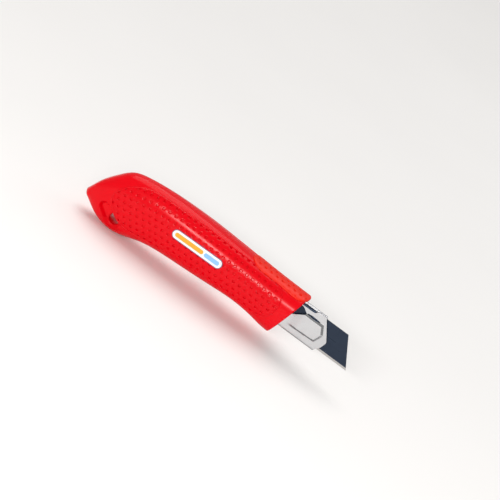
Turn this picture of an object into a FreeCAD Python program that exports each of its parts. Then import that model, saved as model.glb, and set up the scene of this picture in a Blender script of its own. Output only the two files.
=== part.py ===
import FreeCAD, Part
import math
import os
import re
import Sketcher

# Snap-off utility knife with a moulded two-shell handle, a stamped steel blade holder and a
# slider with a toothed lock.
# Frame, in millimetres: +X is the way the blade travels out, +Z is up from the belly of the
# handle to its spine, the slider is on the +Y side. The origin is the centre of the blade's
# mouth, at the front of the steel holder, half way up the blade and in its middle plane.

V = FreeCAD.Vector
doc = FreeCAD.newDocument("UtilityKnife")
sheet = doc.addObject("Spreadsheet::Sheet", "Sizes")

SIZES = {
    # blade
    "blade_length": 100.0, "blade_height": 18.0, "blade_thick": 0.5, "blade_out": 17.6,
    "snap_pitch": 10.0, "snap_angle": 60.0, "score_width": 0.3, "score_deep": 0.12,
    "edge_height": 1.35, "edge_flat": 0.06, "tail_hole": 1.75,
    "snap_count": 8.0,
    # handle sections: x, top, low and half width of each
    "tip_x": -157.3, "tip_top": -11.4, "tip_low": -14.4, "tip_side": 2.2,
    "beak_x": -154.6, "beak_top": -5.6, "beak_low": -16.8, "beak_side": 5.0,
    "butt_x": -148.5, "butt_top": 3.1, "butt_low": -20.6, "butt_side": 7.6,
    "heel_x": -141.0, "heel_top": 10.5, "heel_low": -23.6, "heel_side": 9.3,
    "loop_x": -132.5, "loop_top": 13.2, "loop_low": -24.0, "loop_side": 10.4,
    "palm_x": -118.0, "palm_top": 14.8, "palm_low": -19.6, "palm_side": 11.7,
    "hand_x": -98.0, "hand_top": 15.2, "hand_low": -16.6, "hand_side": 12.6,
    "waist_x": -74.0, "waist_top": 14.4, "waist_low": -15.0, "waist_side": 12.8,
    "fore_x": -50.0, "fore_top": 13.0, "fore_low": -14.1, "fore_side": 12.4,
    "collar_x": -33.0, "collar_top": 12.5, "collar_low": -16.2, "collar_side": 12.0,
    "mouth_x": -15.0, "mouth_top": 12.3, "mouth_low": -16.4, "mouth_side": 11.8,
    "section_fullness": 2.45, "front_x": -25.4, "front_lean": 15.9,
    "wall": 2.5, "hollow_rear": -119.0, "rib_thick": 2.0, "rib_gap": 25.0, "rib_first": -104.0,
    "bush_lap": 1.0, "bush_inset": 1.4, "bush_track_gap": 0.4,
    # soft parts and badge
    "panel_thick": 1.2, "pad_proud": 0.9, "pad_sunk": 0.8, "pad_rear": -54.0,
    "pad_half_width": 7.6, "pad_overhang": 0.9, "pad_nose": 4.0, "badge_x": -86.7,
    "badge_z": 1.9, "badge_length": 33.0, "badge_height": 5.8, "badge_proud": 0.25, "badge_sunk": 0.3,
    # lanyard hole and the teardrop recess round it
    "cord_hole_x": -135.0, "cord_hole_z": -16.2, "cord_hole": 3.2, "cup_floor": 5.5,
    "cup_round": 5.0, "cup_behind": 0.4, "cup_above": 0.6, "cup_tail_x": -144.2,
    "cup_tail_z": -13.4, "cup_tail": 2.0,
    # steel holder
    "steel": 0.9, "blade_play": 0.2, "edge_room": 1.0, "spine_room": 1.1,
    "holder_rear": -117.0, "tongue_rear": -127.0, "tongue_half": 4.0, "plateau_rise": 1.25,
    "plateau_margin": 2.0, "press_gap": 0.5,
    "pin_x": -123.0, "pin": 1.5, "pin_half_length": 5.0,
    # slider: centre, track and lock
    "slide_x": -80.5, "travel_in": 25.0, "travel_out": 35.0, "fit_gap": 0.5,
    "track_floor": 8.6, "track_face": 11.2, "track_half": 8.0, "ledge": 1.0, "rim": 2.2,
    "slot_half": 2.7, "stem_half": 2.3, "stem_half_length": 6.0, "tooth_pitch": 2.5,
    "tooth_deep": 1.0, "tooth_inner": 3.2, "tooth_outer": 5.0, "tooth_gap": 0.1,
    "carrier_half_length": 9.5, "carrier_half": 6.6, "carrier_base": 1.9,
    "carrier_rail": 1.2, "carrier_top": 6.6, "hook_thick": 0.8, "hook_half_length": 8.5,
    "hook_half": 3.6, "stud": 1.6, "stud_ahead": 2.0, "pawl_half_length": 7.2, "pawl_thick": 1.9,
    "pawl_tooth_count": 3.0, "knob_half_length": 9.0, "knob_half": 6.5, "knob_foot": 12.9,
    "knob_face": 16.4, "knob_pad_thick": 1.0, "knob_pad_inset": 1.4, "spring_thick": 0.3,
    "spring_half": 2.0, "spring_half_length": 5.5,
    # screws
    "screw_shank": 1.5, "screw_head": 2.8, "screw_head_thick": 1.8, "screw_seat": 5.6,
    "screw_bite": 5.0, "drive_half": 1.1, "drive_deep": 0.9,
    "screw_top_x": -125.5, "screw_top_z": 8.4, "screw_low_x": -125.0, "screw_low_z": -11.6,
    "screw_butt_x": -147.0, "screw_butt_z": -6.0,
}
for row, (alias, value) in enumerate(SIZES.items(), start=1):
    sheet.set(f"A{row}", alias)
    sheet.set(f"B{row}", str(value))
    sheet.setAlias(f"B{row}", alias)
doc.recompute()


def size(alias):
    """A driving dimension, read from the sheet."""
    return float(sheet.get(alias))


# --- helpers for solids made with Part's own functions -------------------------------------------

REACH = 60.0  # longer than any handle section is wide, for cutting tools that pass right through
FAR = 4 * REACH  # longer than the handle
SEAT_ABOVE = 1.0  # how far the tools that cut a seat stand above the skin
SECTIONS = ["tip", "beak", "butt", "heel", "loop", "palm", "hand", "waist", "fore", "collar",
            "mouth"]


def section(name, grow):
    """Closed rounded curve of the handle at one station, grown outwards by grow."""
    x = size(name + "_x")
    half = (size(name + "_top") - size(name + "_low")) / 2 + grow
    middle = (size(name + "_top") + size(name + "_low")) / 2
    side = size(name + "_side") + grow
    corner = 0.5 ** (1 / size("section_fullness"))
    ring = [(side, 0), (side * corner, half * corner), (0, half), (-side * corner, half * corner),
            (-side, 0), (-side * corner, -half * corner), (0, -half), (side * corner, -half * corner)]
    curve = Part.BSplineCurve()
    curve.interpolate([V(x, y, middle + z) for y, z in ring], PeriodicFlag=True)
    return Part.Wire([curve.toShape()])


def handle_form(grow, first="tip"):
    """The handle's outer form, grown by grow, from one station forwards."""
    names = SECTIONS[SECTIONS.index(first):]
    return Part.makeLoft([section(name, grow) for name in names], True, False)


def prism(points, y_from, y_to):
    """Straight-sided plate: an outline in the XZ plane pushed from one y to another."""
    corners = [V(x, y_from, z) for x, z in points]
    face = Part.Face(Part.makePolygon(corners + corners[:1]))
    return face.extrude(V(0, y_to - y_from, 0))


def smooth_prism(points, y_from, y_to):
    """As prism, with one smooth closed curve through the points."""
    curve = Part.BSplineCurve()
    curve.interpolate([V(x, y_from, z) for x, z in points], PeriodicFlag=True)
    return Part.Face(Part.Wire([curve.toShape()])).extrude(V(0, y_to - y_from, 0))


def block(x_from, x_to, y_from, y_to, z_from, z_to):
    """Box between two corners."""
    corner = V(x_from, y_from, z_from)
    return Part.makeBox(x_to - x_from, y_to - y_from, z_to - z_from, corner)


def rod(x, z, radius, y_from, y_to):
    """Round bar along Y."""
    return Part.makeCylinder(radius, y_to - y_from, V(x, y_from, z), V(0, 1, 0))


def stadium(x_from, x_to, z, half, y_from, y_to):
    """Plate with two straight sides and two half-round ends, half high each way."""
    middle = block(x_from + half, x_to - half, y_from, y_to, z - half, z + half)
    ends = [rod(x, z, half, y_from, y_to) for x in (x_from + half, x_to - half)]
    return middle.fuse(ends).removeSplitter()


def front_slab(ahead):
    """Everything in front of the handle's leaning front face, moved forwards by ahead."""
    lean = math.tan(math.radians(size("front_lean"))) * REACH
    x = size("front_x") + ahead
    return prism([(x - lean, -REACH), (x + lean, REACH), (x + REACH, REACH), (x + REACH, -REACH)],
                 -REACH, REACH)


def add_part(label, shape):
    """Puts a finished shape in the document as a sub-part."""
    item = doc.addObject("Part::Feature", label)
    item.Label = label
    item.Shape = shape
    item.Placement = FreeCAD.Placement()
    return item


# --- helpers for solids made with PartDesign ------------------------------------------------------

def new_body(label):
    body = doc.addObject("PartDesign::Body", label)
    body.Label = label
    return body


def flat_sketch(body, name, role, offset):
    """Empty sketch on one of the body's own planes, moved along that plane's normal."""
    sketch = body.newObject("Sketcher::SketchObject", name)
    plane = [item for item in body.Origin.OriginFeatures if item.Role == role][0]
    sketch.AttachmentSupport = [(plane, "")]
    sketch.MapMode = "FlatFace"
    sketch.setExpression("AttachmentOffset.Base.z", offset)
    return sketch


def outline(body, name, corners, role, offset):
    """Closed sketch with straight sides: every corner is bound to the sheet."""
    sketch = flat_sketch(body, name, role, offset)
    count = len(corners)
    around = [V(math.cos(step), math.sin(step), 0) * 10 for step in
              (2 * math.pi * i / count for i in range(count))]
    for i in range(count):
        sketch.addGeometry(Part.LineSegment(around[i], around[(i + 1) % count]), False)
    for i, (x, z) in enumerate(corners):
        sketch.addConstraint(Sketcher.Constraint("Coincident", (i - 1) % count, 2, i, 1))
        for axis, words in (("DistanceX", x), ("DistanceY", z)):
            at = sketch.addConstraint(Sketcher.Constraint(axis, -1, 1, i, 1, 1.0))
            sketch.setExpression(f"Constraints[{at}]", bound(words))
    return sketch


def bound(words):
    """An expression in which each size's name is read from the sheet."""
    return re.sub(r"[a-z][a-z_]+", lambda found: "Sizes." + found.group()
                  if found.group() in SIZES else found.group(), words)


def pad(body, name, corners, start, depth, role="XZ_Plane"):
    """Pads an outline: towards -Y from start in XZ, towards +X in YZ and towards +Z in XY."""
    offset = f"-({bound(start)})" if role == "XZ_Plane" else bound(start)
    feature = body.newObject("PartDesign::Pad", name)
    feature.Profile = outline(body, name + "_outline", corners, role, offset)
    feature.setExpression("Length", bound(depth))
    body.Tip = feature
    return feature


def pocket(body, name, profile, depth):
    """Cuts a sketch of the XZ plane towards -Y, and checks that it cut."""
    doc.recompute()
    before = body.Shape.Volume
    feature = body.newObject("PartDesign::Pocket", name)
    feature.Profile = profile
    feature.Reversed = True
    feature.setExpression("Length", bound(depth))
    body.Tip = feature
    doc.recompute()
    if body.Shape.Volume > before - 1e-6:
        raise ValueError(f"{name} cut nothing from {body.Label}")
    return feature


def slot_outline(body, name, corners, y_high):
    return outline(body, name, corners, "XZ_Plane", f"-({bound(y_high)})")


def circle(body, name, x, z, radius, y_high):
    """Sketch of one circle in the XZ plane."""
    sketch = flat_sketch(body, name, "XZ_Plane", f"-({bound(y_high)})")
    sketch.addGeometry(Part.Circle(V(0, 0, 0), V(0, 0, 1), 1), False)
    for kind, place, words in (("DistanceX", (-1, 1, 0, 3), x), ("DistanceY", (-1, 1, 0, 3), z),
                               ("Radius", (0,), radius)):
        at = sketch.addConstraint(Sketcher.Constraint(kind, *place, 1.0))
        sketch.setExpression(f"Constraints[{at}]", bound(words))
    return sketch


def rectangle(x_from, x_to, z_from, z_to):
    return [(x_from, z_from), (x_to, z_from), (x_to, z_to), (x_from, z_to)]


def repeat_along_x(body, feature, words_length, words_count, backwards=False):
    """Repeats one feature of a body along X."""
    copies = body.newObject("PartDesign::LinearPattern", feature.Name + "_row")
    copies.Originals = [feature]
    axis = [item for item in body.Origin.OriginFeatures if item.Role == "X_Axis"][0]
    copies.Direction = (axis, [""])
    copies.Reversed = backwards
    copies.setExpression("Length", bound(words_length))
    copies.setExpression("Occurrences", bound(words_count))
    body.Tip = copies
    return copies


# --- the two handle shells, their soft panels, the thumb rest and the badge ------------------------

PANEL_POINTS = [(-142.0, -3.0), (-137.0, 5.6), (-129.0, 10.4), (-112.0, 13.0), (-90.0, 13.4),
                (-66.0, 12.6), (-44.0, 11.6), (-35.4, 9.2), (-33.0, 2.6), (-35.6, -6.2),
                (-45.0, -9.8), (-66.0, -9.9), (-92.0, -10.8), (-114.0, -13.6), (-127.0, -15.0),
                (-136.5, -11.4)]

outer = handle_form(0)
body_form = outer.cut(front_slab(0))
panel_prism = smooth_prism(PANEL_POINTS, -REACH, REACH)
panel_skin = body_form.common(panel_prism).cut(handle_form(-size("panel_thick"), "beak"))

blade_room = size("blade_thick") / 2 + size("blade_play")
holder_back = blade_room + size("steel")
holder_low = -size("blade_height") / 2 - size("edge_room") - size("steel")
holder_top = size("blade_height") / 2 + size("spine_room")
knob_front = size("slide_x") + size("knob_half_length") + size("travel_out")
knob_rear = size("slide_x") - size("knob_half_length") - size("travel_in")
track_front = knob_front + size("track_half") - size("knob_half")
track_rear = knob_rear - size("track_half") + size("knob_half")
slot_front = (size("slide_x") + size("stem_half_length") + size("travel_out")
              + size("fit_gap"))
slot_rear = size("slide_x") - size("stem_half_length") - size("travel_in") - size("fit_gap")
bush_rear = track_front - size("bush_lap")


def track_hole(half, y_from, y_to):
    """The track's outline at another half height."""
    more = half - size("track_half")
    return stadium(track_rear - more, track_front + more, 0, half, y_from, y_to)


def thumb_rest_zone(ahead):
    """The thumb rest's outline seen from above, pushed up through the spine."""
    half = size("pad_half_width")
    nose = size("front_x") + size("pad_nose") + ahead
    flat = Part.makeBox(nose - half - size("pad_rear"), 2 * half, REACH,
                        V(size("pad_rear"), -half, 0))
    round_nose = Part.makeCylinder(half, REACH, V(nose - half, 0, 0))
    round_rear = Part.makeCylinder(half, REACH, V(size("pad_rear"), 0, 0))
    return flat.fuse([round_nose, round_rear]).removeSplitter()


rest_zone = thumb_rest_zone(size("pad_overhang"))
rest_floor = handle_form(-size("pad_sunk"), "waist")
thumb_rest = (handle_form(size("pad_proud"), "waist").common(rest_zone).cut(rest_floor)
              .cut(front_slab(size("pad_overhang"))))
rest_seat = rest_zone.common(handle_form(SEAT_ABOVE, "waist")).cut(rest_floor)

badge_zone = stadium(size("badge_x") - size("badge_length") / 2,
                     size("badge_x") + size("badge_length") / 2, size("badge_z"),
                     size("badge_height") / 2, -REACH, 0)
badge_floor = handle_form(-size("badge_sunk"), "butt")
badge = handle_form(size("badge_proud"), "butt").common(badge_zone).cut(badge_floor)
badge_seat = handle_form(SEAT_ABOVE, "butt").common(badge_zone).cut(badge_floor)

# inside: a hollow with ribs that hold the steel holder, a rim round the track
inner_form = handle_form(-size("wall"), "heel")
hollow = inner_form.cut(
    block(-FAR, size("hollow_rear"), -REACH, REACH, -REACH, REACH))
track_rim = track_hole(size("track_half") + size("rim"),
                       size("carrier_top") + size("bush_track_gap"), REACH)
rib_x = size("rib_first")
while rib_x + size("rib_thick") < bush_rear:
    hollow = hollow.cut(block(rib_x, rib_x + size("rib_thick"), -REACH, REACH, -REACH, REACH))
    rib_x += size("rib_gap")
hollow = hollow.cut(track_rim)
holder_room = block(size("holder_rear"), size("mouth_x"), -holder_back, holder_back,
                    holder_low, holder_top)
tongue_room = block(size("tongue_rear"), size("holder_rear"), -holder_back, holder_back,
                    -size("tongue_half"), size("tongue_half"))
plateau_room = block(size("holder_rear"), size("mouth_x"), -holder_back - size("plateau_rise"), 0,
                     holder_low + size("plateau_margin"), holder_top - size("plateau_margin"))
carrier_room = block(size("slide_x") - size("carrier_half_length") - size("travel_in")
                     - size("fit_gap"), bush_rear, holder_back, size("track_floor"),
                     -size("carrier_half") - size("fit_gap"), size("carrier_half") + size("fit_gap"))
cord_hole = rod(size("cord_hole_x"), size("cord_hole_z"), size("cord_hole"), -REACH, REACH)


def cord_cup(y_from, y_to):
    """Teardrop recess round the lanyard hole."""
    wide, tail = size("cup_round"), size("cup_tail")
    x, z = size("cord_hole_x") - size("cup_behind"), size("cord_hole_z") + size("cup_above")
    tail_x, tail_z = size("cup_tail_x"), size("cup_tail_z")
    run = math.hypot(x - tail_x, z - tail_z)
    heading = math.atan2(tail_z - z, tail_x - x)
    swing = math.acos((wide - tail) / run)
    corners = []
    for side in (1, -1):
        way = heading + side * swing
        pair = [(x + wide * math.cos(way), z + wide * math.sin(way)),
                (tail_x + tail * math.cos(way), tail_z + tail * math.sin(way))]
        corners += pair if side == 1 else pair[::-1]
    web = prism(corners, y_from, y_to)
    return web.fuse([rod(x, z, wide, y_from, y_to), rod(tail_x, tail_z, tail, y_from, y_to)])


SCREWS = ["top", "low", "butt"]


def screw_places():
    return [(size(f"screw_{name}_x"), size(f"screw_{name}_z")) for name in SCREWS]


common_cuts = [panel_skin, rest_seat, hollow, holder_room, tongue_room, cord_hole,
               rod(size("pin_x"), 0, size("pin"), -size("pin_half_length"),
                   size("pin_half_length"))]
shell_form = body_form
for tool in common_cuts:
    shell_form = shell_form.cut(tool)
label_half = shell_form.cut(block(-FAR, REACH, 0, REACH, -REACH, REACH))
for tool in [badge_seat, plateau_room, cord_cup(-REACH, -size("cup_floor"))] + [
        rod(x, z, size("screw_shank"), -size("screw_bite"), 0) for x, z in screw_places()]:
    label_half = label_half.cut(tool)
slider_half = shell_form.cut(block(-FAR, REACH, -REACH, 0, -REACH, REACH))
screw_seat = size("screw_seat")
for tool in ([carrier_room, track_hole(size("track_half"), size("track_floor"), REACH),
              track_hole(size("track_half") - size("ledge"), size("carrier_top"),
                         size("track_floor")), cord_cup(size("cup_floor"), REACH)]
             + [rod(x, z, size("screw_shank"), 0, screw_seat) for x, z in screw_places()]
             + [rod(x, z, size("screw_head"), screw_seat, REACH) for x, z in screw_places()]):
    slider_half = slider_half.cut(tool)

# the black bush that fills the collar's mouth round the holder
bush_form = inner_form.cut(front_slab(-size("bush_inset"))).cut(
    block(-FAR, bush_rear, -REACH, REACH, -REACH, REACH))
bush = bush_form.cut(holder_room).cut(plateau_room).cut(track_rim)

panel_label = panel_skin.cut(block(-FAR, REACH, 0, REACH, -REACH, REACH)).cut(badge_seat)
panel_slider = panel_skin.cut(block(-FAR, REACH, -REACH, 0, -REACH, REACH)).cut(
    track_hole(size("track_half"), 0, REACH))
for x, z in screw_places():
    panel_slider = panel_slider.cut(rod(x, z, size("screw_head"), 0, REACH))
panel_label = panel_label.cut(rest_seat)
panel_slider = panel_slider.cut(rest_seat)

add_part("handle_label_side", label_half)
add_part("handle_slider_side", slider_half)
add_part("grip_panel_label_side", panel_label)
add_part("grip_panel_slider_side", panel_slider)
add_part("thumb_rest", thumb_rest)
add_part("badge_plate", badge)
add_part("nose_bush", bush)


# --- steel holder --------------------------------------------------------------------------------

NOSE_HEEL, NOSE_TOP = -4.3, -8.0  # where the nose starts, along the folded edge and along the top
NOSE_BEND = (-1.7, 3.7)  # x, and height above the fold
NOSE_TIP = (0.0, 8.4)
# Outlines pressed or cut in the near wall, as x and z.
PLATEAU = [(-18.6, -7.0), (-5.9, -6.3), (-3.7, -0.4), (-7.2, 5.0), (-26.0, 5.0), (-26.0, 2.0),
           (-19.4, -2.4)]
WINDOW = [(-30.0, -1.6), (-25.5, -0.6), (-19.8, 3.6), (-30.0, 3.6)]
UPPER_SLIT = [(-17.0, 6.6), (-9.6, 6.6), (-10.0, 7.1), (-16.6, 7.1)]
LOWER_SLIT = [(-17.0, 5.2), (-9.0, 5.2), (-9.4, 5.7), (-16.6, 5.7)]


def holder_wall(y_from, y_to):
    """One wall of the folded strip, with the nose cut to the blade's own angle."""
    low, top = holder_low, holder_top
    nose = [(NOSE_HEEL, low)] + [(x, low + above) for x, above in (NOSE_BEND, NOSE_TIP)]
    nose.append((NOSE_TOP, top))
    rear, tongue, half = size("holder_rear"), size("tongue_rear"), size("tongue_half")
    tail = [(rear, top), (rear, half), (tongue, half), (tongue, -half), (rear, -half), (rear, low)]
    return prism(nose + tail, y_from, y_to)


nose_slope = (NOSE_BEND[0] - NOSE_HEEL) / NOSE_BEND[1]
fold_top = holder_low + size("steel")
fold = prism([(size("holder_rear"), holder_low), (NOSE_HEEL, holder_low),
              (NOSE_HEEL + nose_slope * size("steel"), fold_top),
              (size("holder_rear"), fold_top)], -holder_back, holder_back)
tongue_web = block(size("tongue_rear"), size("holder_rear"), -blade_room, blade_room,
                   -size("tongue_half"), size("tongue_half"))
near_wall = holder_wall(-holder_back, -blade_room)
far_wall = holder_wall(blade_room, holder_back)
stud_x = size("slide_x") + size("stud_ahead")
carrier_slot_front = stud_x + size("travel_out") + size("stud") + size("fit_gap")
carrier_slot_rear = stud_x - size("travel_in") - size("stud") - size("fit_gap")
far_wall = far_wall.cut(stadium(carrier_slot_rear, carrier_slot_front, 0,
                                size("stud") + size("fit_gap"), 0, REACH))


def wire_at(points, inset, y):
    """The outline drawn in by inset towards its middle, at one y."""
    face = Part.Face(Part.makePolygon([V(x, y, z) for x, z in points + points[:1]]))
    return face.makeOffset2D(-inset).OuterWire if inset else face.OuterWire


plateau_face = -holder_back - size("plateau_rise")
bevel = size("plateau_rise")
raised = Part.makeLoft([wire_at(PLATEAU, 0, -holder_back), wire_at(PLATEAU, bevel, plateau_face)],
                       True, True)
pressed = Part.makeLoft([wire_at(PLATEAU, size("press_gap"), -blade_room),
                         wire_at(PLATEAU, bevel + size("press_gap"),
                                 plateau_face + size("steel"))], True, True)
pin_hole = rod(size("pin_x"), 0, size("pin"), -REACH, REACH)
holder = near_wall.fuse([far_wall, fold, tongue_web, raised]).cut(pressed)
for tool in [prism(cut_out, -REACH, -blade_room) for cut_out in (WINDOW, UPPER_SLIT, LOWER_SLIT)]:
    holder = holder.cut(tool)
holder = holder.cut(pin_hole)
add_part("blade_holder", holder.removeSplitter())

pin = doc.addObject("Part::Cylinder", "holder_pin")
pin.Label = "holder_pin"
pin.setExpression("Radius", bound("pin"))
pin.setExpression("Height", bound("2 * pin_half_length"))
pin.Placement = FreeCAD.Placement(V(size("pin_x"), -size("pin_half_length"), 0),
                                  FreeCAD.Rotation(V(1, 0, 0), -90))

# --- blade: ground along its lower edge, scored so that it snaps ----------------------------------

half_up = "blade_height / 2"
lean = "blade_height / tan(snap_angle)"
flat, thick = "edge_flat / 2", "blade_thick / 2"
clear = "blade_out + snap_pitch / 2"
blade = new_body("blade")
pad(blade, "strip", [(f"-{thick}", f"edge_height - {half_up}"), (f"-{flat}", f"-{half_up}"),
                     (flat, f"-{half_up}"), (thick, f"edge_height - {half_up}"),
                     (thick, half_up), (f"-{thick}", half_up)],
    "blade_out - blade_length", "blade_length", "YZ_Plane")
pocket(blade, "point", slot_outline(blade, "point_outline", [
    ("blade_out", f"-{half_up}"), (clear, f"-{half_up}"), (clear, half_up),
    (f"blade_out - {lean}", half_up)], thick), "blade_thick")
pocket(blade, "tail_hole",
       circle(blade, "tail_circle", "slide_x + stud_ahead", "0", "tail_hole", thick), "blade_thick")
score = pocket(blade, "score", slot_outline(blade, "score_outline", [
    ("blade_out - snap_pitch - score_width / 2", f"edge_height - {half_up}"),
    ("blade_out - snap_pitch + score_width / 2", f"edge_height - {half_up}"),
    (f"blade_out - snap_pitch + score_width / 2 - {lean}", half_up),
    (f"blade_out - snap_pitch - score_width / 2 - {lean}", half_up)], thick), "score_deep")
repeat_along_x(blade, score, "(snap_count - 1) * snap_pitch", "snap_count", backwards=True)

# --- blade carrier and the hook that draws the blade ----------------------------------------------

BACK = "(blade_thick / 2 + blade_play + steel)"
HOOK_LOW = f"({BACK} + tooth_gap)"
CARRIER_LOW = f"({HOOK_LOW} + hook_thick)"
BASE_TOP = f"({CARRIER_LOW} + carrier_base)"

hook = new_body("blade_hook")
pad(hook, "plate", rectangle("slide_x - hook_half_length", "slide_x + hook_half_length",
                             "-hook_half", "hook_half"), CARRIER_LOW, "hook_thick")
doc.recompute()
stud = hook.newObject("PartDesign::Pad", "stud_pad")
stud.Profile = circle(hook, "stud_circle", "slide_x + stud_ahead", "0", "stud", HOOK_LOW)
stud.setExpression("Length", bound(f"{HOOK_LOW} + blade_thick / 2"))
hook.Tip = stud

carrier = new_body("blade_carrier")
ends = ("slide_x - carrier_half_length", "slide_x + carrier_half_length")
pad(carrier, "base", rectangle(*ends, "-carrier_half", "carrier_half"), BASE_TOP, "carrier_base")
for name, low, high in (("upper_rail", "carrier_half - carrier_rail", "carrier_half"),
                        ("lower_rail", "-carrier_half", "carrier_rail - carrier_half")):
    pad(carrier, name, rectangle(*ends, low, high), "carrier_top", f"carrier_top - {BASE_TOP}")

# --- toothed track, the pawl that locks in it, its leaf spring and the thumb knob ------------------

track = track_hole(size("track_half"), size("track_floor"), size("track_face"))
slot = stadium(slot_rear, slot_front, 0, size("slot_half"), 0, REACH)
pitch, tooth_deep = size("tooth_pitch"), size("tooth_deep")
TOOTH_ROOT, TOOTH_TIP = 0.3, 0.1  # half widths of a tooth, as shares of the pitch


def rack_tooth(x, side):
    """One tooth that points inwards, above or below the slot."""
    wide, narrow = pitch * TOOTH_ROOT, pitch * TOOTH_TIP
    y, tip = size("track_floor"), size("track_floor") - tooth_deep
    low = min(side * size("tooth_inner"), side * size("tooth_outer"))
    points = [V(x - wide, y, low), V(x + wide, y, low), V(x + narrow, tip, low),
              V(x - narrow, tip, low)]
    face = Part.Face(Part.makePolygon(points + points[:1]))
    return face.extrude(V(0, 0, size("tooth_outer") - size("tooth_inner")))


teeth_rear = size("slide_x") - size("travel_in") - size("pawl_half_length")
teeth_front = size("slide_x") + size("travel_out") + size("pawl_half_length")
first = math.ceil((teeth_rear - size("slide_x")) / pitch - 0.5)
last = math.floor((teeth_front - size("slide_x")) / pitch - 0.5)
teeth = [rack_tooth(size("slide_x") + (number + 0.5) * pitch, side)
         for number in range(first, last + 1) for side in (1, -1)]
add_part("slide_track", track.fuse(teeth).cut(slot))

PAWL_TOP = "(track_floor - tooth_deep - 2 * tooth_gap)"
PAWL_LOW = f"({PAWL_TOP} - pawl_thick)"
TOOTH_TOP = "(track_floor - tooth_gap)"
pawl = new_body("lock_pawl")
pad(pawl, "plate", rectangle("slide_x - pawl_half_length", "slide_x + pawl_half_length",
                             "-tooth_outer", "tooth_outer"), PAWL_TOP, "pawl_thick")
wide, narrow = f"{TOOTH_ROOT} * tooth_pitch", f"{TOOTH_TIP} * tooth_pitch"
for name, start in (("upper_tooth", "tooth_inner"), ("lower_tooth", "-tooth_outer")):
    middle = "slide_x - tooth_pitch * (pawl_tooth_count - 1) / 2"
    tooth = pad(pawl, name, [(f"{middle} - {wide}", PAWL_TOP), (f"{middle} + {wide}", PAWL_TOP),
                             (f"{middle} + {narrow}", TOOTH_TOP),
                             (f"{middle} - {narrow}", TOOTH_TOP)],
                start, "tooth_outer - tooth_inner", "XY_Plane")
    repeat_along_x(pawl, tooth, "tooth_pitch * (pawl_tooth_count - 1)", "pawl_tooth_count")

spring = new_body("lock_spring")
foot, leaf = f"{BASE_TOP}", "spring_thick"
crown = f"({PAWL_LOW} - tooth_gap / 2)"
# distances from the middle of the leaf: its end, its crown and where each foot turns up
end, short = "spring_half_length", "spring_half_length * 0.35"
inner_bend, outer_bend = "spring_half_length * 0.75", "spring_half_length * 0.8"
under = [(f"slide_x - {end}", foot), (f"slide_x - {inner_bend}", foot),
         (f"slide_x - {short}", f"{crown} - {leaf}"), (f"slide_x + {short}", f"{crown} - {leaf}"),
         (f"slide_x + {inner_bend}", foot), (f"slide_x + {end}", foot)]
over = [(f"slide_x + {end}", f"{foot} + {leaf}"), (f"slide_x + {outer_bend}", f"{foot} + {leaf}"),
        (f"slide_x + {short}", crown), (f"slide_x - {short}", crown),
        (f"slide_x - {outer_bend}", f"{foot} + {leaf}"), (f"slide_x - {end}", f"{foot} + {leaf}")]
pad(spring, "leaf", under + over, "-spring_half", "2 * spring_half", "XY_Plane")

slide_x = size("slide_x")
pawl_top = size("track_floor") - tooth_deep - 2 * size("tooth_gap")
stem = stadium(slide_x - size("stem_half_length"), slide_x + size("stem_half_length"), 0,
               size("stem_half"), pawl_top, size("knob_foot"))
head = stadium(slide_x - size("knob_half_length"), slide_x + size("knob_half_length"), 0,
               size("knob_half"), size("knob_foot"), size("knob_face"))
add_part("slider_knob", head.fuse(stem).removeSplitter())
inset = size("knob_pad_inset")
add_part("knob_pad", stadium(slide_x - size("knob_half_length") + inset,
                             slide_x + size("knob_half_length") - inset, 0,
                             size("knob_half") - inset, size("knob_face"),
                             size("knob_face") + size("knob_pad_thick")))

# --- case screws: one node of identical screws ----------------------------------------------------

screws = []
for name in SCREWS:
    pieces = []
    for piece, radius, start, length in (
            ("shank", "screw_shank", "-screw_bite", "screw_bite + screw_seat"),
            ("head", "screw_head", "screw_seat", "screw_head_thick")):
        bar = doc.addObject("Part::Cylinder", f"{name}_{piece}")
        bar.setExpression("Radius", bound(radius))
        bar.setExpression("Height", bound(length))
        bar.Placement = FreeCAD.Placement(V(0, 0, 0), FreeCAD.Rotation(V(1, 0, 0), -90))
        bar.setExpression("Placement.Base.x", bound(f"screw_{name}_x"))
        bar.setExpression("Placement.Base.y", bound(start))
        bar.setExpression("Placement.Base.z", bound(f"screw_{name}_z"))
        pieces.append(bar)
    whole = doc.addObject("Part::MultiFuse", f"{name}_screw")
    whole.Shapes = pieces
    drives = []
    for way, along_x, along_z in (("flat", "drive_half", "drive_half / 4"),
                                  ("upright", "drive_half / 4", "drive_half")):
        bar = doc.addObject("Part::Box", f"{name}_{way}")
        bar.setExpression("Length", bound(f"2 * {along_x}"))
        bar.setExpression("Width", bound("drive_deep"))
        bar.setExpression("Height", bound(f"2 * {along_z}"))
        bar.setExpression("Placement.Base.x", bound(f"screw_{name}_x - {along_x}"))
        bar.setExpression("Placement.Base.y", bound("screw_seat + screw_head_thick - drive_deep"))
        bar.setExpression("Placement.Base.z", bound(f"screw_{name}_z - {along_z}"))
        drives.append(bar)
    cross = doc.addObject("Part::MultiFuse", f"{name}_cross")
    cross.Shapes = drives
    screw = doc.addObject("Part::Cut", f"{name}_driven")
    screw.Base = whole
    screw.Tool = cross
    screws.append(screw)
group = doc.addObject("Part::Compound", "case_screws")
group.Label = "case_screws"
group.Links = screws

# --- check and write ------------------------------------------------------------------------------

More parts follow.
